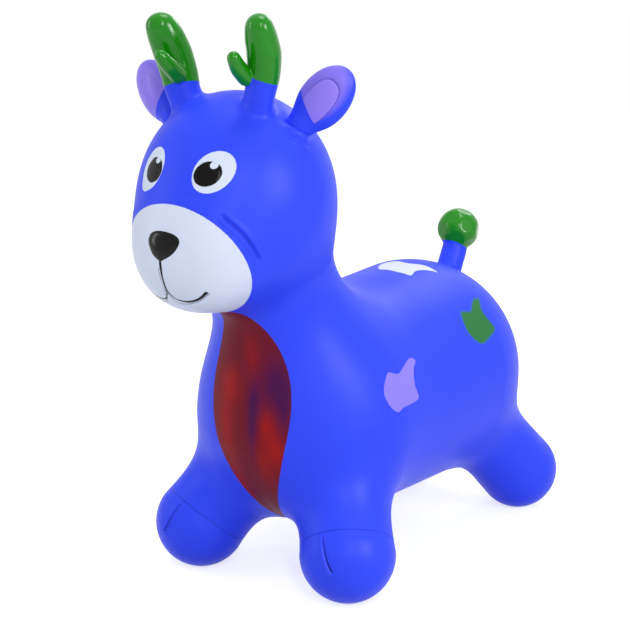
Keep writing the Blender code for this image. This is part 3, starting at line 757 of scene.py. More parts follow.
class SkinFinish:
    """A moulded PVC skin with sprayed layers on it, and layers of painted shade in its creases, grooves and
    clefts.
    """

    REFRACTION = 1.48
    LACQUER_ROUGHNESS = 0.12
    # The palest and the deepest that a coat clouds to
    PALE = 1.06
    PALE_LIFT = 0.002
    DEEP = 0.94
    LINE_HALF_WIDTH = 0.0007
    LINE_DEPTH = 0.0005
    # How far painted shade darkens a moulded line
    LINE_SHADE = 0.25

    def __init__(
        self,
        name: str,
        base: Coat,
        layers: Sequence[Layer] = (),
        lines: Sequence[str] = (),
        shine: float = 0.14,
        dents: float = 0.0003,
    ) -> None:
        """Builds the material.

        Args:
            name: The material's name.
            base: The skin's own colour.
            layers: What is sprayed on it and the painted shade laid in its creases, grooves and clefts, from
                below upwards.
            lines: Fine moulded lines, each a signed distance on the skin; they are bumped in and darkened
                with painted shade.
            shine: How strongly it mirrors.
            dents: How deep its soft dents are.
        """
        self.material = bpy.data.materials.new(name)
        self.material.use_nodes = True
        self.tree = self.material.node_tree
        self.shader = self.tree.nodes["Principled BSDF"]
        self.place = self.tree.nodes.new("ShaderNodeTexCoord").outputs["Object"]
        self.colour = self.varied(base)
        self.gloss: bpy.types.NodeSocket | float = base.roughness
        for layer in layers:
            self.add_layer(layer)
        grooves = [self.line(line) for line in lines]
        # Painted shade: each moulded line is darkened towards dark blue
        for depth in grooves:
            self.colour = self.mixed(depth, self.colour, RECESS_SHADE_BLUE.colour, self.LINE_SHADE)
        self.tree.links.new(self.colour, self.shader.inputs["Base Color"])
        self.finish_gloss()
        self.finish_relief(grooves, dents)
        self.shader.inputs["IOR"].default_value = self.REFRACTION
        self.shader.inputs["Specular IOR Level"].default_value = shine

    def node(self, kind: str, **settings: object) -> bpy.types.Node:
        """Adds a node with its settings.

        Args:
            kind: The node's type.
            settings: Its settings by name.

        Returns:
            The new node.
        """
        node = self.tree.nodes.new(kind)
        for key, value in settings.items():
            setattr(node, key, value)
        return node

    def feed(self, node: bpy.types.Node, inputs: dict[str | int, object]) -> bpy.types.Node:
        """Links or sets a node's inputs.

        Args:
            node: The node.
            inputs: A socket or a value for each input, by name or number.

        Returns:
            The node.
        """
        for key, value in inputs.items():
            if isinstance(value, bpy.types.NodeSocket):
                self.tree.links.new(value, node.inputs[key])
            else:
                node.inputs[key].default_value = value
        return node

    def math(self, operation: str, *values: object, clamped: bool = False) -> bpy.types.NodeSocket:
        """A number worked out from numbers."""
        node = self.node("ShaderNodeMath", operation=operation, use_clamp=clamped)
        return self.feed(node, dict(enumerate(values))).outputs[0]

    def noise(self, grain: Grain) -> bpy.types.NodeSocket:
        """A random pattern in the skin, between 0 and 1."""
        inputs = {"Vector": self.place, "Scale": grain.scale, "Detail": grain.detail}
        return self.feed(self.node("ShaderNodeTexNoise"), inputs).outputs["Fac"]

    def centred(self, grain: Grain) -> bpy.types.NodeSocket:
        """A random pattern at its height, as much below zero as above."""
        return self.math("MULTIPLY_ADD", self.noise(grain), grain.height, -grain.height / 2)

    def mixed(
        self, share: object, first: object, second: object, strength: float = 1.0
    ) -> bpy.types.NodeSocket:
        """A colour between two colours.

        Args:
            share: How much of the second colour there is.
            first: The first colour.
            second: The second colour.
            strength: What the share is multiplied by.

        Returns:
            The colour.
        """
        node = self.node("ShaderNodeMix", data_type="RGBA")
        if strength != 1.0:
            share = self.math("MULTIPLY", share, strength)
        # Inputs 0, 6 and 7 and output 2 of a mix node are those of its colours
        for index, value in ((0, share), (6, first), (7, second)):
            if isinstance(value, tuple):
                value = (*value, 1.0)
            self.feed(node, {index: value})
        return node.outputs[2]

    def varied(self, coat: Coat) -> bpy.types.NodeSocket:
        """The coat's colour with the faint clouding of a sprayed or moulded skin.

        Args:
            coat: The coat.

        Returns:
            The colour.
        """
        pale = tuple(min(1.0, channel * self.PALE + self.PALE_LIFT) for channel in coat.colour)
        deep = tuple(channel * self.DEEP for channel in coat.colour)
        return self.mixed(self.noise(CLOUDING), deep, pale)

    def distance(self, name: str) -> bpy.types.NodeSocket:
        """The piece's own stored distance."""
        return self.node("ShaderNodeAttribute", attribute_name=name).outputs["Fac"]

    def add_layer(self, layer: Layer) -> None:
        """Lays a coat over what is there: a sprayed colour, or painted shade.

        Args:
            layer: The coat and where it lies.
        """
        ragged = self.centred(RAGGED_EDGE)
        depth = self.math("ADD", self.distance(layer.name), ragged)
        share = self.math("MULTIPLY_ADD", depth, 1.0 / layer.softness, 0.5, clamped=True)
        colour = self.varied(layer.coat)
        for suffix, tint in (("_shade", layer.coat.shade), ("_bright", layer.coat.bright)):
            if tint:
                amount = self.math("ADD", self.distance(layer.name + suffix), 0.0, clamped=True)
                colour = self.mixed(amount, colour, tint)
        self.colour = self.mixed(share, self.colour, colour)
        # Inputs 0, 2 and 3 and output 0 of a mix node are those of its numbers
        mix = self.node("ShaderNodeMix", data_type="FLOAT")
        self.feed(mix, {0: share, 2: self.gloss, 3: layer.coat.roughness})
        self.gloss = mix.outputs[0]
        if layer.coat.lacquer:
            lacquer = self.math("MULTIPLY", share, layer.coat.lacquer)
            self.feed(self.shader, {"Coat Weight": lacquer, "Coat Roughness": self.LACQUER_ROUGHNESS})

    def line(self, name: str) -> bpy.types.NodeSocket:
        """How deep a fine moulded line is, from its signed distance, between 0 and 1."""
        away = self.math("ABSOLUTE", self.distance(name))
        return self.math("MULTIPLY_ADD", away, -1.0 / self.LINE_HALF_WIDTH, 1.0, clamped=True)

    def finish_gloss(self) -> None:
        """Lets the gloss vary a little, as handled soft PVC does."""
        gloss = self.math("ADD", self.gloss, self.centred(GLOSS_CLOUDING))
        self.tree.links.new(gloss, self.shader.inputs["Roughness"])

    def finish_relief(self, grooves: Sequence[bpy.types.NodeSocket], dents: float) -> None:
        """Adds the fine grain of the mould, soft dents and the moulded lines.

        Args:
            grooves: How deep each line is, between 0 and 1.
            dents: How deep the dents are.
        """
        grain = self.math("MULTIPLY", self.noise(MOULD_GRAIN), MOULD_GRAIN.height)
        height = self.math("ADD", grain, self.math("MULTIPLY", self.noise(SOFT_DENTS), dents))
        for depth in grooves:
            height = self.math("ADD", height, self.math("MULTIPLY", depth, -self.LINE_DEPTH))
        bump = self.node("ShaderNodeBump")
        self.feed(bump, {"Height": height, "Strength": 1.0, "Distance": 1.0})
        self.tree.links.new(bump.outputs[0], self.shader.inputs["Normal"])


@dataclass(frozen=True)
class DeerForm:
    """Every rounded form of the deer, in the part's own sizes."""

    trunk: Limb = Limb((0.0, -0.043, 0.157), (0.0, 0.134, 0.163), 0.109, 0.116)
    neck: Limb = Limb((0.0, -0.067, 0.178), (0.0, -0.118, 0.313), 0.080, 0.052)
    skull: Oval = Oval((0.0, -0.165, 0.378), (0.0895, 0.088, 0.094))
    snout: Oval = Oval((0.0, -0.224, 0.334), (0.054, 0.0465, 0.049))
    neck_fillet: float = 0.080
    snout_fillet: float = 0.063
    head_fillet: float = 0.075
    front_leg: Limb = Limb((0.0465, -0.063, 0.126), (0.087, -0.115, 0.0435), 0.0335, 0.045, True)
    front_fillet: float = 0.060
    rear_leg: Limb = Limb((0.0455, 0.140, 0.141), (0.082, 0.2295, 0.0415), 0.039, 0.043, True)
    rear_fillet: float = 0.040

    @property
    def body(self) -> Fused:
        """The trunk, the neck and the head."""
        head = Fused(self.skull, self.snout, self.snout_fillet)
        return Fused(Fused(self.trunk, self.neck, self.neck_fillet), head, self.head_fillet)


DEER = DeerForm()


def grown_patch(
    name: str,
    limb: Form,
    fillet: float,
    margin: float,
    box: tuple[Place, Place],
    cell: float,
    finish: bpy.types.Material,
) -> SkinPatch:
    """A patch of the body's skin with a limb that grows out of it.

    Args:
        name: The patch's name.
        limb: The limb.
        fillet: The fillet with which it runs into the body.
        margin: How far the patch runs on past the fillet.
        box: The lowest and highest corner of what is meshed.
        cell: The size of a mesh cell.
        finish: The material.

    Returns:
        The patch.
    """
    patch = SkinPatch(name, Fused(DEER.body, limb, fillet), box, cell, finish)
    patch.keep(limb.measure(patch.points()) < fillet + margin)
    return patch


@dataclass(frozen=True)
class Cloud:
    """A soft cloud of spray, seen from the front."""

    centre: Spot
    spread: Spot
    strength: float

    def amount(self, points: Points) -> Values:
        """How strong the cloud is at each point."""
        away = (points[:, (0, 2)] - np.array(self.centre)) / np.array(self.spread)
        return self.strength * np.exp(-np.sum(away**2, axis=1))


@dataclass(frozen=True)
class BodySpray:
    """What is sprayed on the trunk and the legs: the breast and the spots."""

    breast_middle: float = 0.0042
    breast_low: float = 0.040
    breast_high: float = 0.292
    breast_half_width: float = 0.0436
    breast_skew: float = 1.27
    breast_back: float = -0.06
    top_from: float = 0.2
    flank_from: float = 0.03
    brights: tuple[Cloud, ...] = (
        Cloud((0.026, 0.167), (0.007, 0.014), 0.8),
        Cloud((0.034, 0.143), (0.008, 0.018), 0.9),
        Cloud((0.020, 0.130), (0.009, 0.022), 0.6),
        Cloud((-0.014, 0.202), (0.012, 0.018), 0.8),
        Cloud((-0.020, 0.162), (0.010, 0.030), 0.7),
        Cloud((0.011, 0.233), (0.007, 0.022), 0.5),
        Cloud((-0.016, 0.105), (0.008, 0.030), 0.5),
    )
    shades: tuple[Cloud, ...] = (
        Cloud((0.0135, 0.186), (0.006, 0.028), 1.0),
        Cloud((0.033, 0.206), (0.012, 0.024), 1.0),
        Cloud((0.042, 0.185), (0.006, 0.026), 0.8),
        Cloud((0.0105, 0.155), (0.004, 0.030), 0.7),
    )
    white_spot: tuple[Spot, ...] = (
        (-0.016, 0.095), (-0.024, 0.115), (-0.020, 0.123), (-0.010, 0.125), (0.004, 0.120), (0.016, 0.1245),
        (0.0245, 0.126), (0.034, 0.1245), (0.040, 0.123), (0.034, 0.1195), (0.0275, 0.112), (0.025, 0.102),
        (0.0285, 0.088), (0.021, 0.086), (0.012, 0.085), (0.0005, 0.086), (-0.007, 0.085),
    )
    green_spot: tuple[Spot, ...] = (
        (0.131, 0.247), (0.137, 0.246), (0.1295, 0.2385), (0.128, 0.232), (0.131, 0.225), (0.134, 0.219),
        (0.131, 0.2155), (0.1195, 0.2115), (0.108, 0.208), (0.100, 0.208), (0.091, 0.214), (0.0865, 0.223),
        (0.089, 0.233), (0.0945, 0.2395), (0.109, 0.238), (0.1185, 0.243), (0.125, 0.246),
    )
    lilac_spot: tuple[Spot, ...] = (
        (-0.027, 0.215), (-0.021, 0.215), (-0.017, 0.2115), (-0.0245, 0.2065), (-0.0295, 0.199),
        (-0.0315, 0.190), (-0.029, 0.179), (-0.044, 0.1765), (-0.056, 0.176), (-0.0645, 0.173),
        (-0.073, 0.178), (-0.0785, 0.189), (-0.0775, 0.197), (-0.0725, 0.2045), (-0.0675, 0.2095),
        (-0.064, 0.2095), (-0.057, 0.207), (-0.051, 0.2065), (-0.0405, 0.2105), (-0.0325, 0.2135),
    )

    def breast(self, points: Points) -> dict[str, Values]:
        """The leaf of the breast, with its brighter and darker clouds.

        Args:
            points: The points, one row each.

        Returns:
            How far inside the leaf each point lies, and how strong the clouds are there.
        """
        share = np.clip((points[:, 2] - self.breast_low) / (self.breast_high - self.breast_low), 0.0, 1.0)
        half = self.breast_half_width * np.sin(math.pi * share**self.breast_skew)
        depth = np.minimum(half - np.abs(points[:, 0] - self.breast_middle), self.breast_high - points[:, 2])
        depth = np.minimum(depth, points[:, 2] - self.breast_low)
        return {
            "breast": np.minimum(depth, self.breast_back - points[:, 1]),
            "breast_bright": sum(cloud.amount(points) for cloud in self.brights),
            "breast_shade": sum(cloud.amount(points) for cloud in self.shades),
        }

    def layers(self, points: Points) -> dict[str, Values]:
        """Every layer on the trunk and the legs.

        Args:
            points: The points, one row each.

        Returns:
            How far inside each layer each point lies.
        """
        across, _, up = points.T
        top = np.minimum(outline_depth(points[:, :2], self.white_spot), up - self.top_from)
        green = outline_depth(points[:, 1:], self.green_spot)
        lilac = outline_depth(points[:, 1:], self.lilac_spot)
        left = across - self.flank_from
        right = -self.flank_from - across
        return {
            **self.breast(points),
            "white_spot": top,
            "green_spot": np.maximum(np.minimum(green, left), np.minimum(lilac, right)),
            "lilac_spot": np.maximum(np.minimum(lilac, left), np.minimum(green, right)),
        }


BODY_LAYERS = (
    Layer("breast", RED),
    Layer("white_spot", WHITE),
    Layer("green_spot", MATT_GREEN, softness=0.0026),
    Layer("lilac_spot", PALE_LILAC),
)
# The legs also take painted shade in the hoof clefts
LEG_LAYERS = (*BODY_LAYERS, Layer("shaded_slit", RECESS_SHADE_BLUE))
GREEN_LAYERS = (Layer("green", GREEN),)
EAR_LAYERS = (
    Layer("lilac", LILAC, softness=0.006),
    Layer("bright_lilac", BRIGHT_LILAC),
    # Painted shade along the moulded line round the oval
    Layer("oval_line_shade", OVAL_SHADE_LILAC),
)


@dataclass(frozen=True)
class Body:
    """The trunk, the neck and the head."""

    cell: float = 0.0024
    low: Place = (-0.130, -0.285, 0.030)
    high: Place = (0.130, 0.265, 0.485)
    neck_pivot: Place = (0.0, -0.1027, 0.2725)
    bend_below: float = 0.045
    bend_above: float = 0.036
    sink: float = 0.003
    sink_edge: Spot = (0.003, 0.009)
    spray: BodySpray = field(default_factory=BodySpray)

    def build(self, finish: bpy.types.Material, face: Face) -> bpy.types.Object:
        """Makes the skin of the body.

        Args:
            finish: Its material.
            face: The face that lies over it, under which it is sunk.

        Returns:
            The skin.
        """
        patch = SkinPatch("body_skin", DEER.body, (self.low, self.high), self.cell, finish)
        points = patch.points()
        patch.swell(-self.sink * smoothstep(face.inside(points), *self.sink_edge))
        patch.spray(self.spray.layers(points))
        skin = patch.finished("body_skin")
        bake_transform(skin)
        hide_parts("trunk", "breast", "head")
        return skin


@dataclass(frozen=True)
class Dab:
    """A sprayed oval on the face, seen from the front, whose top may lean towards the deer's left."""

    centre: Spot
    radii: Spot
    lean: float = 0.0

    def depth(self, points: Points, shift: Spot = (0.0, 0.0)) -> Values:
        """How far inside the oval each point lies.

        Args:
            points: The points, one row each.
            shift: How far the oval is shifted.

        Returns:
            The distances, positive inside.
        """
        up = points[:, 2] - self.centre[1] - shift[1]
        across = points[:, 0] - self.centre[0] - shift[0] - self.lean * up
        return (1.0 - np.hypot(across / self.radii[0], up / self.radii[1])) * min(self.radii)


@dataclass(frozen=True)
class Face:
    """The front of the head: the white muzzle, the mouth and the eyes."""

    cell: float = 0.0007
    low: Place = (-0.085, -0.285, 0.262)
    high: Place = (0.085, -0.165, 0.462)
    facing: Place = (0.0, -0.95, -0.31)
    edge: float = 0.044
    chin: float = 0.268
    muzzle_point: Place = (0.0, -0.2405, 0.3456)
    muzzle_normal: Place = (0.0, 0.856, 0.516)
    whites: tuple[Dab, ...] = (
        Dab((0.0338, 0.4082), (0.0166, 0.0172), 0.06),
        Dab((-0.0305, 0.4076), (0.0148, 0.0182), 0.11),
        Dab((-0.0350, 0.3960), (0.0080, 0.0078)),
    )
    pupils: tuple[Dab, ...] = (
        Dab((0.0300, 0.4068), (0.0115, 0.0103)),
        Dab((-0.0278, 0.4070), (0.0114, 0.0106)),
    )
    glints: tuple[Dab, ...] = (
        Dab((0.0338, 0.4142), (0.0034, 0.0033)),
        Dab((-0.0252, 0.4154), (0.0031, 0.0030)),
    )
    pupil_mould: Spot = (-0.0012, -0.0012)
    pupil_ring_width: float = 0.0006
    pupil_ring_depth: float = 0.0004
    philtrum: tuple[Place, ...] = (
        (0.0, 0.0, 0.3360), (0.0, 0.0, 0.3280), (0.0, 0.0, 0.3180), (0.0003, 0.0, 0.3061),
    )
    philtrum_half_widths: tuple[float, ...] = (0.0012, 0.0013, 0.0009, 0.0006)
    smile: tuple[Place, ...] = (
        (0.0003, 0.0, 0.3061), (0.0017, 0.0, 0.3040), (0.0040, 0.0, 0.3005), (0.0069, 0.0, 0.2984),
        (0.0114, 0.0, 0.2974), (0.0161, 0.0, 0.2975), (0.0212, 0.0, 0.2986), (0.0263, 0.0, 0.3009),
        (0.0303, 0.0, 0.3037), (0.0340, 0.0, 0.3069),
    )
    smile_half_widths: tuple[float, ...] = (0.0006, 0.0006, 0.0008, 0.0011, 0.0010)
    mould_middle: float = -0.0027
    mould: tuple[Place, ...] = (
        (0.0003, 0.0, 0.3270), (0.0000, 0.0, 0.3080), (0.0020, 0.0, 0.3021), (0.0041, 0.0, 0.2970),
        (0.0083, 0.0, 0.2940), (0.0164, 0.0, 0.2942), (0.0253, 0.0, 0.2970), (0.0313, 0.0, 0.3004),
        (0.0384, 0.0, 0.3060),
    )
    mould_groove: Groove = Groove(0.0008, 0.0008, 0.0002)
    mould_shade_half_width: float = 0.0004
    crease: tuple[Place, ...] = (
        (0.0460, -0.2486, 0.3738), (0.0532, -0.2443, 0.3672), (0.0596, -0.2387, 0.3594),
        (0.0642, -0.2326, 0.3505), (0.0665, -0.2266, 0.3415), (0.0672, -0.2205, 0.3320),
    )
    crease_groove: Groove = Groove(0.0013, 0.0017, 0.0010)
    # Half width of the painted shade along the crease
    crease_shade_half_width: float = 0.0008
    right_crease: float = 0.4
    wrinkle: tuple[Place, ...] = (
        (0.0051, -0.2576, 0.3907), (0.0104, -0.2574, 0.3898), (0.0165, -0.2569, 0.3885),
        (0.0262, -0.2542, 0.3880),
    )
    wrinkle_groove: Groove = Groove(0.0018, 0.0002)
    spray: BodySpray = field(default_factory=BodySpray)

    def inside(self, points: Points) -> Values:
        """How far inside the edge of the face each point lies."""
        forward = (points - np.array(DEER.skull.centre)) @ np.array(self.facing)
        return np.where(points[:, 2] > self.chin, forward - self.edge, -1.0)

    def mouth(self, points: Points) -> Values:
        """How far inside the painted lines of the mouth each point lies, seen from the front.

        Args:
            points: The points, one row each.

        Returns:
            The distances, positive inside.
        """
        flat = np.abs(points * (1, 0, 1))
        lines = ((self.philtrum, self.philtrum_half_widths), (self.smile, self.smile_half_widths))
        depths = []
        for corners, widths in lines:
            away, place = along_path(flat, smooth_path(corners))
            depths.append(np.interp(place, np.linspace(0.0, 1.0, len(widths)), widths) - away)
        return np.maximum(*depths)

    def moulded(self, points: Points) -> Points:
        """The points from the front, folded about the moulded mouth, which the paint misses a little."""
        return np.abs(points * (1, 0, 1) - (self.mould_middle, 0.0, 0.0))

    def crease_shade_depth(self, points: Points) -> Values:
        """How far inside the line of painted shade along the cheek's crease each point lies."""
        away, place = along_path(folded(points), smooth_path(self.crease))
        return self.crease_shade_half_width * np.sin(math.pi * place) ** 0.5 - away

    def relief(self, points: Points) -> Values:
        """How high the mould stands: the mouth, the cheeks, a wrinkle above the muzzle and the eyes.

        Args:
            points: The points, one row each.

        Returns:
            The height at each point.
        """
        left = folded(points)
        height = self.mould_groove.height(self.moulded(points), self.mould)
        crease = self.crease_groove.height(left, self.crease)
        height += crease * np.where(points[:, 0] > 0, 1.0, self.right_crease)
        height += self.wrinkle_groove.height(left, self.wrinkle)
        for pupil in self.pupils:
            ring = pupil.depth(points, self.pupil_mould)
            height -= self.pupil_ring_depth * bell(ring, self.pupil_ring_width)
        return height

    def build(self, finish: bpy.types.Material) -> bpy.types.Object:
        """Makes the skin of the face.

        Args:
            finish: Its material.

        Returns:
            The skin.
        """
        patch = SkinPatch("face_skin", DEER.body, (self.low, self.high), self.cell, finish)
        patch.keep(self.inside(patch.points()) > 0.0)
        points = patch.points()
        patch.swell(SkinPatch.PROUD + self.relief(points))
        mould_shade_away, _ = along_path(self.moulded(points), smooth_path(self.mould))
        patch.spray({
            **self.spray.breast(points),
            "muzzle": (np.array(self.muzzle_point) - points) @ np.array(self.muzzle_normal),
            # Painted shade along the cheek's crease
            "crease": self.crease_shade_depth(points),
            # Painted shade along the moulded groove of the mouth
            "mould_groove_shade": self.mould_shade_half_width - mould_shade_away,
            "mouth": self.mouth(points),
            "eye": np.max([dab.depth(points) for dab in self.whites], axis=0),
            "pupil": np.max([dab.depth(points) for dab in self.pupils], axis=0),
            "glint": np.max([dab.depth(points) for dab in self.glints], axis=0),
        })
        patch.turn_in_rim()
        skin = patch.finished("face_skin")
        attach(skin, "head")
        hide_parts("muzzle")
        return skin


FACE_LAYERS = (
    Layer("breast", RED),
    # Painted shade along the cheek's crease
    Layer("crease", CREASE_SHADE_BLUE, softness=0.0016),
    Layer("muzzle", WHITE),
    # Painted shade along the moulded groove of the mouth
    Layer("mould_groove_shade", GROOVE_SHADE_GREY),
    Layer("mouth", BLACK),
    Layer("eye", WHITE),
    Layer("pupil", BLACK),
    Layer("glint", WHITE),
)


@dataclass(frozen=True)
class Nose:
    """The moulded nose pad, a rounded triangle on the front of the muzzle."""

    centre: Spot = (0.001, 0.349)
    outline: tuple[Spot, ...] = (
        (-0.0150, 0.3510), (-0.0135, 0.3550), (-0.0105, 0.3575), (-0.0050, 0.3590), (0.0010, 0.3592),
        (0.0070, 0.3586), (0.0130, 0.3571), (0.0175, 0.3545), (0.0193, 0.3515), (0.0183, 0.3470),
        (0.0150, 0.3420), (0.0105, 0.3380), (0.0050, 0.3350), (0.0005, 0.3329), (-0.0040, 0.3347),
        (-0.0085, 0.3380), (-0.0120, 0.3430), (-0.0145, 0.3480),
    )
    height: float = 0.0022
    sunk: float = 0.0008
    roundness: float = 3.2
    rings: int = 26
    front: float = -0.262
    settling_steps: int = 12

    def build(self, finish: bpy.types.Material) -> bpy.types.Object:
        """Makes the pad.

        Args:
            finish: Its material.

        Returns:
            The pad.
        """
        edge = smooth_loop(self.outline)
        spokes = len(edge)
        flat = [(*self.centre, 0.0)]
        for share in np.arange(1, self.rings + 1) / self.rings:
            flat += [(*(self.centre + (spot - self.centre) * share), share) for spot in edge]
        spots = np.array(flat)
        points = np.stack((spots[:, 0], np.full(len(spots), self.front), spots[:, 1]), axis=1)
        for _ in range(self.settling_steps):
            points[:, 1] += DEER.body.measure(points)
        dome = np.sqrt(np.maximum(1.0 - spots[:, 2] ** self.roundness, 0.0))
        points[:, 1] -= dome * (self.height + self.sunk) - self.sunk
        faces = [(0, 1 + spoke, 1 + (spoke + 1) % spokes) for spoke in range(spokes)]
        for ring in range(self.rings - 1):
            inner, outer = 1 + ring * spokes, 1 + (ring + 1) * spokes
            for spoke in range(spokes):
                after = (spoke + 1) % spokes
                faces.append((inner + spoke, outer + spoke, outer + after, inner + after))
        mesh = bpy.data.meshes.new("nose_pad")
        mesh.from_pydata(points.tolist(), [], faces)
        shape = bmesh.new()
        shape.from_mesh(mesh)
        bmesh.ops.holes_fill(shape, edges=[edge for edge in shape.edges if edge.is_boundary])
        bmesh.ops.recalc_face_normals(shape, faces=shape.faces)
        shape.to_mesh(mesh)
        shape.free()
        mesh.materials.append(finish)
        pad = smooth_object("nose_pad", mesh, SkinPatch.SHARP_ANGLE)
        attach(pad, "head")
        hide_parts("nose")
        return pad


@dataclass(frozen=True)
class Legs:
    """A pair of legs, each grown out of the body below its hip."""

    end: str
    limb: Limb
    fillet: float
    box: tuple[Place, Place]
    bend: Spot
    cleft: tuple[Place, ...]
    hoof_ring: float | None = None
    cell: float = 0.0011
    margin: float = 0.004
    cleft_half_widths: Spot = (0.0004, 0.0009)
    cleft_depth: float = 0.0014
    cleft_edge: Spot = (-0.0008, 0.0006)
    lip_side: Place = (-0.82, -0.57, 0.0)
    lip_height: float = 0.0014
    lip_width: float = 0.0014
    lip_offset: float = 0.0020
    spray: BodySpray = field(default_factory=BodySpray)

    def shaded_slit(self, points: Points) -> tuple[Values, Values]:
        """The cleft of each hoof, a groove that widens downwards, with a lip along its inner side; painted
        shade darkens its inside.

        Args:
            points: The points, one row each.

        Returns:
            How far inside the cleft each point lies, which is where the painted shade lies, and how high the
            mould stands there.
        """
        left = folded(points)
        path = smooth_path(self.cleft)
        away, place = along_path(left, path)
        depth = np.interp(place, (0.0, 1.0), self.cleft_half_widths) - away
        spots = np.arange(len(path)) / (len(path) - 1)
        nearest = np.stack([np.interp(place, spots, line) for line in path.T], axis=1)
        inner = (left - nearest) @ np.array(self.lip_side) > 0
        lip = np.where(inner, self.lip_height * bell(depth + self.lip_offset, self.lip_width), 0.0)
        return depth, lip - self.cleft_depth * smoothstep(depth, *self.cleft_edge)

    def build(self, finish: bpy.types.Material) -> list[bpy.types.Object]:
        """Makes the skin of both legs.

        Args:
            finish: Their material.

        Returns:
            The left and the right leg.
        """
        name = self.end + "_legs"
        both = grown_patch(name, self.limb, self.fillet, self.margin, self.box, self.cell, finish)
        points = both.points()
        shaded_slit, relief = self.shaded_slit(points)
        both.swell(SkinPatch.PROUD + relief)
        layers = self.spray.layers(points)
        # Painted shade in the hoof clefts
        layers["shaded_slit"] = shaded_slit
        if self.hoof_ring:
            away = np.linalg.norm(folded(points) - np.array(self.limb.start), axis=1)
            # The hoof's moulded ring, bumped in and darkened with painted shade
            layers["hoof_groove_shade"] = away - self.hoof_ring
        both.spray(layers)
        stood = both.points()
        stood[:, 2] = np.maximum(stood[:, 2], 0.0)
        both.put(stood)
        legs = []
        for side in Side:
            patch = both.half(side)
            patch.turn_in_rim()
            name = f"{self.end}_{side.hand}_leg"
            leg = patch.finished(name + "_skin")
            start, end = (side.place(self.limb.along(distance)) for distance in self.bend)
            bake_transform(leg)
            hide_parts(f"{self.end}_{side.hand}_foot")
            legs.append(leg)
        return legs


FRONT_LEGS = Legs(
    end="front",
    limb=DEER.front_leg,
    fillet=DEER.front_fillet,
    box=((-0.145, -0.185, -0.010), (0.145, 0.050, 0.200)),
    bend=(0.060, 0.100),
    cleft=(
        (0.0833, -0.1506, 0.0705), (0.0854, -0.1534, 0.0669), (0.0885, -0.1563, 0.0614),
        (0.0916, -0.1583, 0.0547), (0.0948, -0.1590, 0.0484), (0.0985, -0.1585, 0.0420),
    ),
    hoof_ring=0.106,
)
REAR_LEGS = Legs(
    end="rear",
    limb=DEER.rear_leg,
    fillet=DEER.rear_fillet,
    box=((-0.140, 0.060, -0.010), (0.140, 0.285, 0.225)),
    bend=(0.078, 0.118),
    cleft=((0.0780, 0.2700, 0.0560), (0.0800, 0.2720, 0.0450), (0.0820, 0.2720, 0.0340)),
)


@dataclass(frozen=True)
class Antler:
    """An antler with its tine, held as a grip: green above a blue root."""

    side: Side
    root: Place = (0.029, -0.179, 0.432)
    knee: Place = (0.0475, -0.1875, 0.495)
    axis: tuple[Place, ...] = (
        root, (0.0415, -0.1866, 0.4680), (0.0467, -0.1874, 0.4874), (0.0504, -0.1913, 0.5048),
        (0.0522, -0.1977, 0.5190), (0.0536, -0.2025, 0.5284),
    )
    radii: tuple[float, ...] = (0.0128, 0.0128, 0.0135, 0.0140, 0.0130, 0.0108)
    flat: Place = (0.325, -0.226, 0.0)
    tine: tuple[Place, ...] = (
        (0.0381, -0.1999, 0.4858), (0.0381, -0.2107, 0.4938), (0.0399, -0.2200, 0.5030),
    )
    tine_radii: tuple[float, ...] = (0.0074, 0.0067, 0.0050)
    fillet: float = 0.012
    tine_fillet: float = 0.003
    left_paint_edge: Place = (0.0454, -0.1870, 0.4835)
    right_paint_edge: Place = (0.0434, -0.1863, 0.476)
    paint_tilt: Place = (0.28, 0.12, 1.0)
    paint_height: float = 0.0003
    paint_slope: float = 0.001
    tine_paint_gap: float = 0.0005
    pivot_share: float = 0.30
    bend: Spot = (0.004, 0.024)
    cell: float = 0.0008
    low: Place = (0.004, -0.236, 0.425)
    high: Place = (0.075, -0.150, 0.548)
    margin: float = 0.003

    @property
    def paint_edge(self) -> Place:
        """Where the edge of the green crosses the antler's axis, a little lower on the right antler."""
        return self.left_paint_edge if self.side is Side.LEFT else self.right_paint_edge

    def build(self, finish: bpy.types.Material) -> bpy.types.Object:
        """Makes the antler.

        Args:
            finish: Its material.

        Returns:
            The antler.
        """
        name = "antler_" + self.side.hand
        tine = bent_limb(self.tine, self.tine_radii)
        beam = bent_limb(self.axis, self.radii, self.flat)
        form = Fused(beam, tine, self.tine_fillet)
        box = self.side.box(self.low, self.high)
        patch = grown_patch(name, form, self.fillet, self.margin, box, self.cell, finish)
        points = folded(patch.points())
        green = (points - np.array(self.paint_edge)) @ np.array(self.paint_tilt)
        on_tine = beam.measure(points) - tine.measure(points) - self.tine_paint_gap
        green = np.maximum(green, on_tine)
        paint = self.paint_height * smoothstep(green, -self.paint_slope, self.paint_slope)
        patch.swell(SkinPatch.PROUD + paint)
        patch.spray({"green": green})
        patch.turn_in_rim()
        antler = patch.finished(name + "_skin")
        pivot = Vector(self.root).lerp(Vector(self.knee), self.pivot_share)
        rise = (Vector(self.knee) - Vector(self.root)).normalized()
        start, end = (self.side.place(tuple(pivot + rise * distance)) for distance in self.bend)
        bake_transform(antler)
        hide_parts(name + "_stem", name + "_beam")
        return antler


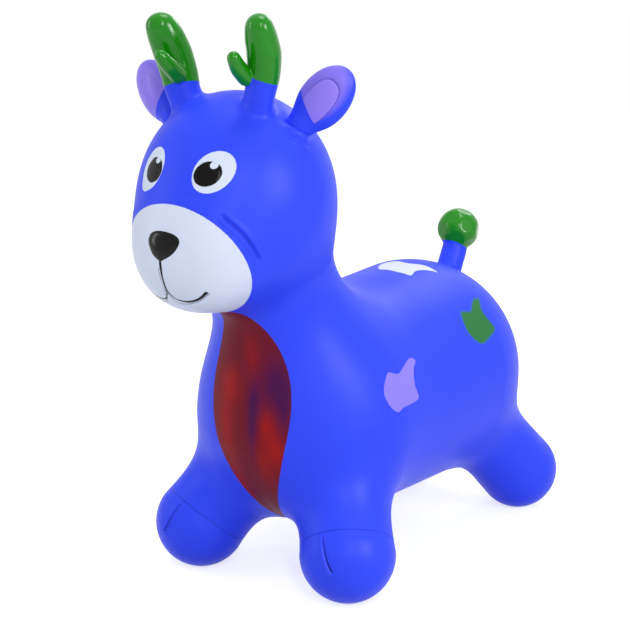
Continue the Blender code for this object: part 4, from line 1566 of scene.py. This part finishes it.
@dataclass(frozen=True)
class Ear:
    """An ear on a short stalk, with a lilac face."""

    side: Side
    root: Place = (0.0565, -0.174, 0.418)
    base: Place = (0.0715, -0.165, 0.4465)
    tip: Place = (0.113, -0.1575, 0.4885)
    stalk_radius: float = 0.0113
    width: float = 0.0444
    thickness: float = 0.025
    overhang: float = 0.004
    facing: Place = (0.25, -1.0, 0.1)
    fillet: float = 0.012
    pivot_share: float = 0.80
    bend: Spot = (-0.004, 0.016)
    oval: Spot = (-0.0003, -0.003)
    oval_radii: Spot = (0.0128, 0.0233)
    oval_squareness: float = 2.5
    line_half_width: float = 0.0003
    line_width: float = 0.0007
    line_depth: float = 0.0006
    line_fade: float = 0.003
    right_line: float = 0.3
    # Painted light: how much further the pale oval reaches on the right ear, for the light that ear catches
    right_oval_painted_light: float = 0.004
    haze: Spot = (0.0035, 0.006)
    haze_radii: Spot = (0.0188, 0.027)
    haze_reach: float = 0.5
    hem: float = -0.0149
    hem_slope: float = 0.33
    hem_sharpness: float = 8.0
    unpainted: float = -0.01
    wrinkles: tuple[float, ...] = (0.020, 0.027)
    wrinkle_width: float = 0.0014
    wrinkle_depth: float = 0.0011
    wrinkle_fade: Spot = (0.010, 0.018)
    cell: float = 0.0007
    low: Place = (0.040, -0.200, 0.405)
    high: Place = (0.135, -0.125, 0.515)
    margin: float = 0.003

    def axes(self) -> tuple[Place, Place, Place]:
        """The ear's own directions.

        Returns:
            The directions across it, out of its face and along it.
        """
        along = (Vector(self.tip) - Vector(self.base)).normalized()
        facing = Vector(self.facing)
        facing = (facing - along * facing.dot(along)).normalized()
        return tuple(facing.cross(along)), tuple(facing), tuple(along)

    def middle(self) -> Place:
        """The middle of the ear's blade."""
        return tuple(Vector(self.base).lerp(Vector(self.tip), 0.5))

    def form(self) -> Fused:
        """The ear by itself.

        Returns:
            The stalk with the blade.
        """
        length = (Vector(self.tip) - Vector(self.base)).length
        radii = (self.width / 2, self.thickness / 2, length / 2 + self.overhang)
        stalk = Limb(self.root, self.base, self.stalk_radius, self.stalk_radius, True)
        return Fused(stalk, Oval(self.middle(), radii, self.axes(), True), self.fillet)

    def oval_depth(self, spots: Points) -> Values:
        """How far inside the squarish oval of the ear's face each point lies.

        Args:
            spots: The points in the ear's own directions.

        Returns:
            The distances, positive inside.
        """
        side = np.abs(spots[:, 0] - self.oval[0]) / self.oval_radii[0]
        rise = np.abs(spots[:, 2] - self.oval[1]) / self.oval_radii[1]
        away = (side**self.oval_squareness + rise**self.oval_squareness) ** (1.0 / self.oval_squareness)
        return (1.0 - away) * self.oval_radii[0]

    def above_hem(self, spots: Points) -> Values:
        """How far above the lower edge of the lilac each point lies."""
        return spots[:, 2] - self.hem - self.hem_slope * spots[:, 0]

    def relief(self, points: Points, spots: Points) -> Values:
        """How high the mould stands: the line round the oval and the wrinkles of the stalk.

        Args:
            points: The points, one row each.
            spots: The points in the ear's own directions.

        Returns:
            The height at each point.
        """
        _, out, along = spots.T
        front = smoothstep(out, 0.0, self.line_fade) * (1.0 if self.side is Side.LEFT else self.right_line)
        line = front * bell(self.oval_depth(spots), self.line_width)
        height = -self.line_depth * line * smoothstep(self.above_hem(spots), 0.0, self.line_fade)
        stalk = np.array((Vector(self.base) - Vector(self.root)).normalized())
        up_stalk = (points - np.array(self.root)) @ stalk
        for ring in self.wrinkles:
            wrinkle = self.wrinkle_depth * bell(up_stalk - ring, self.wrinkle_width)
            height -= wrinkle * smoothstep(-along, *self.wrinkle_fade)
        return height

    def layers(self, spots: Points) -> dict[str, Values]:
        """What is sprayed on the ear's face, with painted shade along the line round the oval on the left
        ear only, and a painted lighter oval that reaches further on the right ear.

        Args:
            spots: The points in the ear's own directions.

        Returns:
            How far inside each layer each point lies.
        """
        across, out, along = spots.T
        lined = self.side is Side.LEFT
        oval = self.oval_depth(spots)
        above = self.above_hem(spots)
        reach = np.where(across > self.haze[0], self.haze_reach, 1.0) * (across - self.haze[0])
        haze = 1.0 - np.hypot(reach / self.haze_radii[0], (along - self.haze[1]) / self.haze_radii[1])
        depths = {
            "lilac": np.minimum(self.hem_sharpness * above, self.haze_radii[0] * haze),
            # Painted light: on the right ear the pale oval reaches further
            "bright_lilac": np.minimum(above, oval if lined else oval + self.right_oval_painted_light),
            # Painted shade along the moulded line round the oval
            "oval_line_shade": np.minimum(above, self.line_half_width - np.abs(oval)),
        }
        if not lined:
            depths["oval_line_shade"] = np.full(len(spots), self.unpainted)
        return {name: np.where(out > 0, depth, self.unpainted) for name, depth in depths.items()}

    def build(self, finish: bpy.types.Material) -> bpy.types.Object:
        """Makes the ear.

        Args:
            finish: Its material.

        Returns:
            The ear.
        """
        name = "ear_" + self.side.hand
        box = self.side.box(self.low, self.high)
        patch = grown_patch(name, self.form(), self.fillet, self.margin, box, self.cell, finish)
        points = folded(patch.points())
        spots = (points - np.array(self.middle())) @ np.array(self.axes()).T
        patch.swell(SkinPatch.PROUD + self.relief(points, spots))
        patch.spray(self.layers(spots))
        patch.turn_in_rim()
        ear = patch.finished(name + "_skin")
        pivot = Vector(self.root).lerp(Vector(self.base), self.pivot_share)
        lift = (Vector(self.tip) - Vector(self.root)).normalized()
        start, end = (self.side.place(tuple(pivot + lift * distance)) for distance in self.bend)
        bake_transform(ear)
        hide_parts(name, name + "_face")
        return ear


@dataclass(frozen=True)
class Tail:
    """A blue stalk with a green bobble."""

    root: Place = (0.0, 0.190, 0.2155)
    top: Place = (0.0, 0.225, 0.278)
    radius: float = 0.0137
    bobble: Place = (0.0, 0.2335, 0.3005)
    bobble_radius: float = 0.0229
    facets: int = 16
    facet_height: float = 0.935
    facet_rounding: float = 0.0006
    facet_turn: float = math.radians(137.5)
    facet_limit: float = 0.3
    facets_from: Spot = (0.280, 0.290)
    skin_reach: float = 0.0012
    skin_fade: float = 0.0008
    paint_edge: Place = (0.0, 0.2258, 0.2835)
    paint_tilt: Place = (0.05, 0.47, 0.88)
    fillet: float = 0.018
    bobble_fillet: float = 0.004
    pivot_share: float = 0.40
    bend: Spot = (0.010, 0.032)
    cell: float = 0.0011
    low: Place = (-0.040, 0.165, 0.215)
    high: Place = (0.040, 0.262, 0.328)
    margin: float = 0.003

    def facet_relief(self, points: Points) -> Values:
        """How far the bobble's soft facets lie below a ball.

        Args:
            points: The points, one row each.

        Returns:
            The height at each point, negative.
        """
        offset = points - np.array(self.bobble)
        away = np.linalg.norm(offset, axis=1)
        reach = np.full(len(points), self.bobble_radius)
        for index in range(self.facets):
            height = 1.0 - (2 * index + 1) / self.facets
            turn = index * self.facet_turn
            flat = math.sqrt(1.0 - height * height)
            facing = np.array((flat * math.cos(turn), flat * math.sin(turn), height))
            facing_share = np.maximum(offset @ facing / away, self.facet_limit)
            cut = self.facet_height * self.bobble_radius / facing_share
            near = np.maximum(self.facet_rounding - np.abs(reach - cut), 0.0) / self.facet_rounding
            reach = np.minimum(reach, cut) - near**3 * self.facet_rounding / 6.0
        on_ball = smoothstep(self.bobble_radius + self.skin_reach - away, 0.0, self.skin_fade)
        return (reach - self.bobble_radius) * on_ball * smoothstep(points[:, 2], *self.facets_from)

    def build(self, finish: bpy.types.Material) -> bpy.types.Object:
        """Makes the tail.

        Args:
            finish: Its material.

        Returns:
            The tail.
        """
        stalk = Limb(self.root, self.top, self.radius, self.radius)
        ball = Oval(self.bobble, (self.bobble_radius,) * 3)
        form = Fused(stalk, ball, self.bobble_fillet)
        box = (self.low, self.high)
        patch = grown_patch("tail", form, self.fillet, self.margin, box, self.cell, finish)
        points = patch.points()
        green = (points - np.array(self.paint_edge)) @ np.array(self.paint_tilt)
        patch.swell(SkinPatch.PROUD + self.facet_relief(points))
        patch.spray({"green": green})
        patch.turn_in_rim()
        tail = patch.finished("tail_skin")
        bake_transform(tail)
        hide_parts("tail_stalk", "tail_bobble")
        return tail


@dataclass(frozen=True)
class Valve:
    """The collar in the belly and the plug that closes it."""

    seat: Place = (0.0, 0.047, 0.04649)
    steps: int = 72
    weld: float = 1e-6
    sharp_angle: float = math.radians(35)
    collar: tuple[Spot, ...] = (
        (0.0046, 0.0090), (0.0088, 0.0090), (0.0090, 0.0086), (0.0090, 0.0), (0.0126, 0.0),
        (0.0130, -0.0004), (0.0130, -0.0011), (0.0124, -0.0016), (0.0092, -0.0016), (0.0050, -0.0016),
        (0.0046, -0.0013),
    )
    plug: tuple[Spot, ...] = (
        (0.0, 0.0141), (0.0028, 0.0141), (0.0036, 0.0136), (0.0043, 0.0109), (0.0043, -0.0019),
        (0.0080, -0.0019), (0.0085, -0.0023), (0.0085, -0.0037), (0.0079, -0.0043), (0.0060, -0.0043),
        (0.0056, -0.0040), (0.0024, -0.0040), (0.0020, -0.0043), (0.0, -0.0043),
    )

    def ring(self, radius: float, height: float) -> list[Place]:
        """The points of a ring about the valve's axis.

        Args:
            radius: The ring's radius.
            height: How far it lies above the seat.

        Returns:
            The points.
        """
        x, y, z = self.seat
        turns = [2 * math.pi * step / self.steps for step in range(self.steps)]
        return [(x + radius * math.cos(turn), y + radius * math.sin(turn), z + height) for turn in turns]

    def turned(self, name: str, profile: Sequence[Spot], finish: bpy.types.Material) -> bpy.types.Object:
        """A turned piece about the valve's axis.

        Args:
            name: The piece's name.
            profile: Its outline as radius and height.
            finish: Its material.

        Returns:
            The piece.
        """
        shape = bmesh.new()
        loops = [[shape.verts.new(point) for point in self.ring(*spot)] for spot in profile]
        hollow = profile[0][0] > 0
        for upper, lower in zip(loops, loops[1:] + loops[:1] if hollow else loops[1:]):
            for step in range(self.steps):
                after = (step + 1) % self.steps
                shape.faces.new((upper[step], upper[after], lower[after], lower[step]))
        bmesh.ops.remove_doubles(shape, verts=shape.verts, dist=self.weld)
        bmesh.ops.recalc_face_normals(shape, faces=shape.faces)
        mesh = bpy.data.meshes.new(name)
        shape.to_mesh(mesh)
        shape.free()
        mesh.materials.append(finish)
        piece = smooth_object(name, mesh, self.sharp_angle)
        return piece

    def build(self, finish: bpy.types.Material) -> list[bpy.types.Object]:
        """Makes the collar and the plug.

        Args:
            finish: Their material.

        Returns:
            Both pieces.
        """
        collar = self.turned("belly_collar", self.collar, finish)
        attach(collar, "torso")
        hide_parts("valve_collar")
        plug = self.turned("belly_plug", self.plug, finish)
        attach(plug, "plug")
        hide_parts("air_plug")
        return [collar, plug]


@dataclass(frozen=True)
class Lamp:
    """A soft lamp that looks at the deer, or a softbox that only shows as a sheen on it."""

    name: str
    place: Place
    width: float
    height: float
    power: float
    sheen_only: bool = False


@dataclass(frozen=True)
class Studio:
    """The floor, the light and the camera."""

    camera_place: Place = (0.8742, -1.2975, 0.5565)
    camera_forward: Place = (-0.5606, 0.8043, -0.1971)
    lens: float = 91.68
    sensor_width: float = 36.0
    sight: float = 100.0
    floor_size: float = 12.0
    floor_drop: float = 0.0003
    floor_grey: float = 0.70
    floor_roughness: float = 0.9
    aim: Place = (0.0, -0.03, 0.24)
    sky: float = 0.46
    near_floor: Spot = (0.50, 0.71)
    far_floor: Spot = (1.40, 0.76)
    lamps: tuple[Lamp, ...] = (
        Lamp("front_lamp", (1.4, -1.6, 1.4), 0.30, 1.10, 15.5),
        Lamp("side_lamp", (1.75, -0.15, 0.80), 0.20, 0.90, 7.5),
        Lamp("softbox", (1.7, -0.38, 0.95), 0.55, 0.75, 18.0, sheen_only=True),
        Lamp("back_lamp", (-0.2, 1.7, 1.35), 0.70, 0.30, 4.0),
        Lamp("fill_lamp", (-1.5, -1.2, 0.85), 0.25, 1.10, 6.0),
        Lamp("top_lamp", (0.1, 0.2, 2.2), 0.9, 0.9, 14.0),
    )

    def build(self) -> None:
        """Sets up everything that isn't the deer."""
        self.build_camera()
        self.build_floor()
        self.build_sky()
        for lamp in self.lamps:
            self.build_lamp(lamp)
        bpy.context.scene.view_settings.view_transform = "Standard"

    def build_camera(self) -> None:
        """Puts the camera where the photograph was taken."""
        data = bpy.data.cameras.new("camera")
        data.lens = self.lens
        data.sensor_width = self.sensor_width
        data.sensor_fit = "HORIZONTAL"
        data.clip_end = self.sight
        camera = placed("camera", data)
        camera.location = self.camera_place
        camera.rotation_euler = Vector(self.camera_forward).to_track_quat("-Z", "Y").to_euler()
        bpy.context.scene.camera = camera

    def seen(self, tree: bpy.types.NodeTree) -> bpy.types.NodeSocket:
        """Tells rays that show a surface to the eye, straight or by reflection, from others.

        Args:
            tree: The material or world that asks.

        Returns:
            1 on such rays and 0 on others.
        """
        path = tree.nodes.new("ShaderNodeLightPath")
        total = path.outputs["Is Camera Ray"]
        for name in ("Is Glossy Ray", "Is Transmission Ray"):
            add = tree.nodes.new("ShaderNodeMath")
            add.operation = "ADD"
            add.use_clamp = True
            tree.links.new(total, add.inputs[0])
            tree.links.new(path.outputs[name], add.inputs[1])
            total = add.outputs[0]
        return total

    def build_floor(self) -> None:
        """Lays a pale floor that keeps the deer's shadow."""
        mesh = bpy.data.meshes.new("floor")
        half = self.floor_size / 2
        low = -self.floor_drop
        corners = [(-half, -half, low), (half, -half, low), (half, half, low), (-half, half, low)]
        mesh.from_pydata(corners, [], [(0, 1, 2, 3)])
        material = bpy.data.materials.new("floor")
        material.use_nodes = True
        tree = material.node_tree
        shader = tree.nodes["Principled BSDF"]
        shader.inputs["Base Color"].default_value = (*(self.floor_grey,) * 3, 1.0)
        shader.inputs["Roughness"].default_value = self.floor_roughness
        shader.inputs["Specular IOR Level"].default_value = 0.0
        shader.inputs["Emission Color"].default_value = (1.0, 1.0, 1.0, 1.0)
        away = tree.nodes.new("ShaderNodeVectorMath")
        away.operation = "LENGTH"
        tree.links.new(tree.nodes.new("ShaderNodeTexCoord").outputs["Object"], away.inputs[0])
        lift = tree.nodes.new("ShaderNodeMapRange")
        for end, (distance, level) in (("Min", self.near_floor), ("Max", self.far_floor)):
            lift.inputs["From " + end].default_value = distance
            lift.inputs["To " + end].default_value = level
        tree.links.new(away.outputs["Value"], lift.inputs["Value"])
        gain = tree.nodes.new("ShaderNodeMath")
        gain.operation = "MULTIPLY"
        tree.links.new(self.seen(tree), gain.inputs[0])
        tree.links.new(lift.outputs[0], gain.inputs[1])
        tree.links.new(gain.outputs[0], shader.inputs["Emission Strength"])
        mesh.materials.append(material)
        floor = placed("floor", mesh)

    def build_sky(self) -> None:
        """Surrounds the deer with white, at a plain level of light."""
        world = bpy.data.worlds.new("studio")
        bpy.context.scene.world = world
        world.use_nodes = True
        tree = world.node_tree
        background = tree.nodes["Background"]
        background.inputs["Color"].default_value = (1.0, 1.0, 1.0, 1.0)
        strength = tree.nodes.new("ShaderNodeMapRange")
        strength.inputs["To Min"].default_value = self.sky
        strength.inputs["To Max"].default_value = 1.0
        tree.links.new(self.seen(tree), strength.inputs["Value"])
        tree.links.new(strength.outputs[0], background.inputs["Strength"])

    def build_lamp(self, lamp: Lamp) -> None:
        """Hangs one soft lamp.

        Args:
            lamp: The lamp.
        """
        data = bpy.data.lights.new(lamp.name, "AREA")
        data.shape = "RECTANGLE"
        data.size = lamp.width
        data.size_y = lamp.height
        data.energy = lamp.power
        obj = placed(lamp.name, data)
        obj.location = lamp.place
        obj.visible_diffuse = not lamp.sheen_only
        obj.rotation_euler = (Vector(self.aim) - Vector(lamp.place)).to_track_quat("-Z", "Y").to_euler()


def main() -> None:
    """Builds the deer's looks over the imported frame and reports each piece."""
    logging.basicConfig(level=logging.INFO, format="%(message)s")
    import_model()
    Studio().build()
    body_finish = SkinFinish("body_finish", BLUE, BODY_LAYERS).material
    leg_finish = SkinFinish("leg_finish", BLUE, LEG_LAYERS, ("hoof_groove_shade",)).material
    rear_finish = SkinFinish("rear_leg_finish", BLUE, LEG_LAYERS).material
    face_finish = SkinFinish("face_finish", BLUE, FACE_LAYERS).material
    green_finish = SkinFinish("green_tip_finish", BLUE, GREEN_LAYERS, dents=0.0004).material
    bobble_finish = SkinFinish("bobble_finish", BLUE, GREEN_LAYERS, dents=0.0004).material
    ear_finish = SkinFinish("ear_finish", BLUE, EAR_LAYERS).material
    nose_finish = SkinFinish("nose_finish", BLACK, shine=0.2, dents=0.0007).material
    valve_finish = SkinFinish("valve_finish", IVORY).material
    face = Face()
    pieces = [Body().build(body_finish, face), face.build(face_finish), Nose().build(nose_finish)]
    pieces += FRONT_LEGS.build(leg_finish)
    pieces += REAR_LEGS.build(rear_finish)
    for side in Side:
        pieces.append(Antler(side).build(green_finish))
        pieces.append(Ear(side).build(ear_finish))
    pieces.append(Tail().build(bobble_finish))
    pieces += Valve().build(valve_finish)
    for piece in pieces:
        LOG.info("%s: %d faces", piece.name, len(piece.data.polygons))


if __name__ == "__main__":
    main()
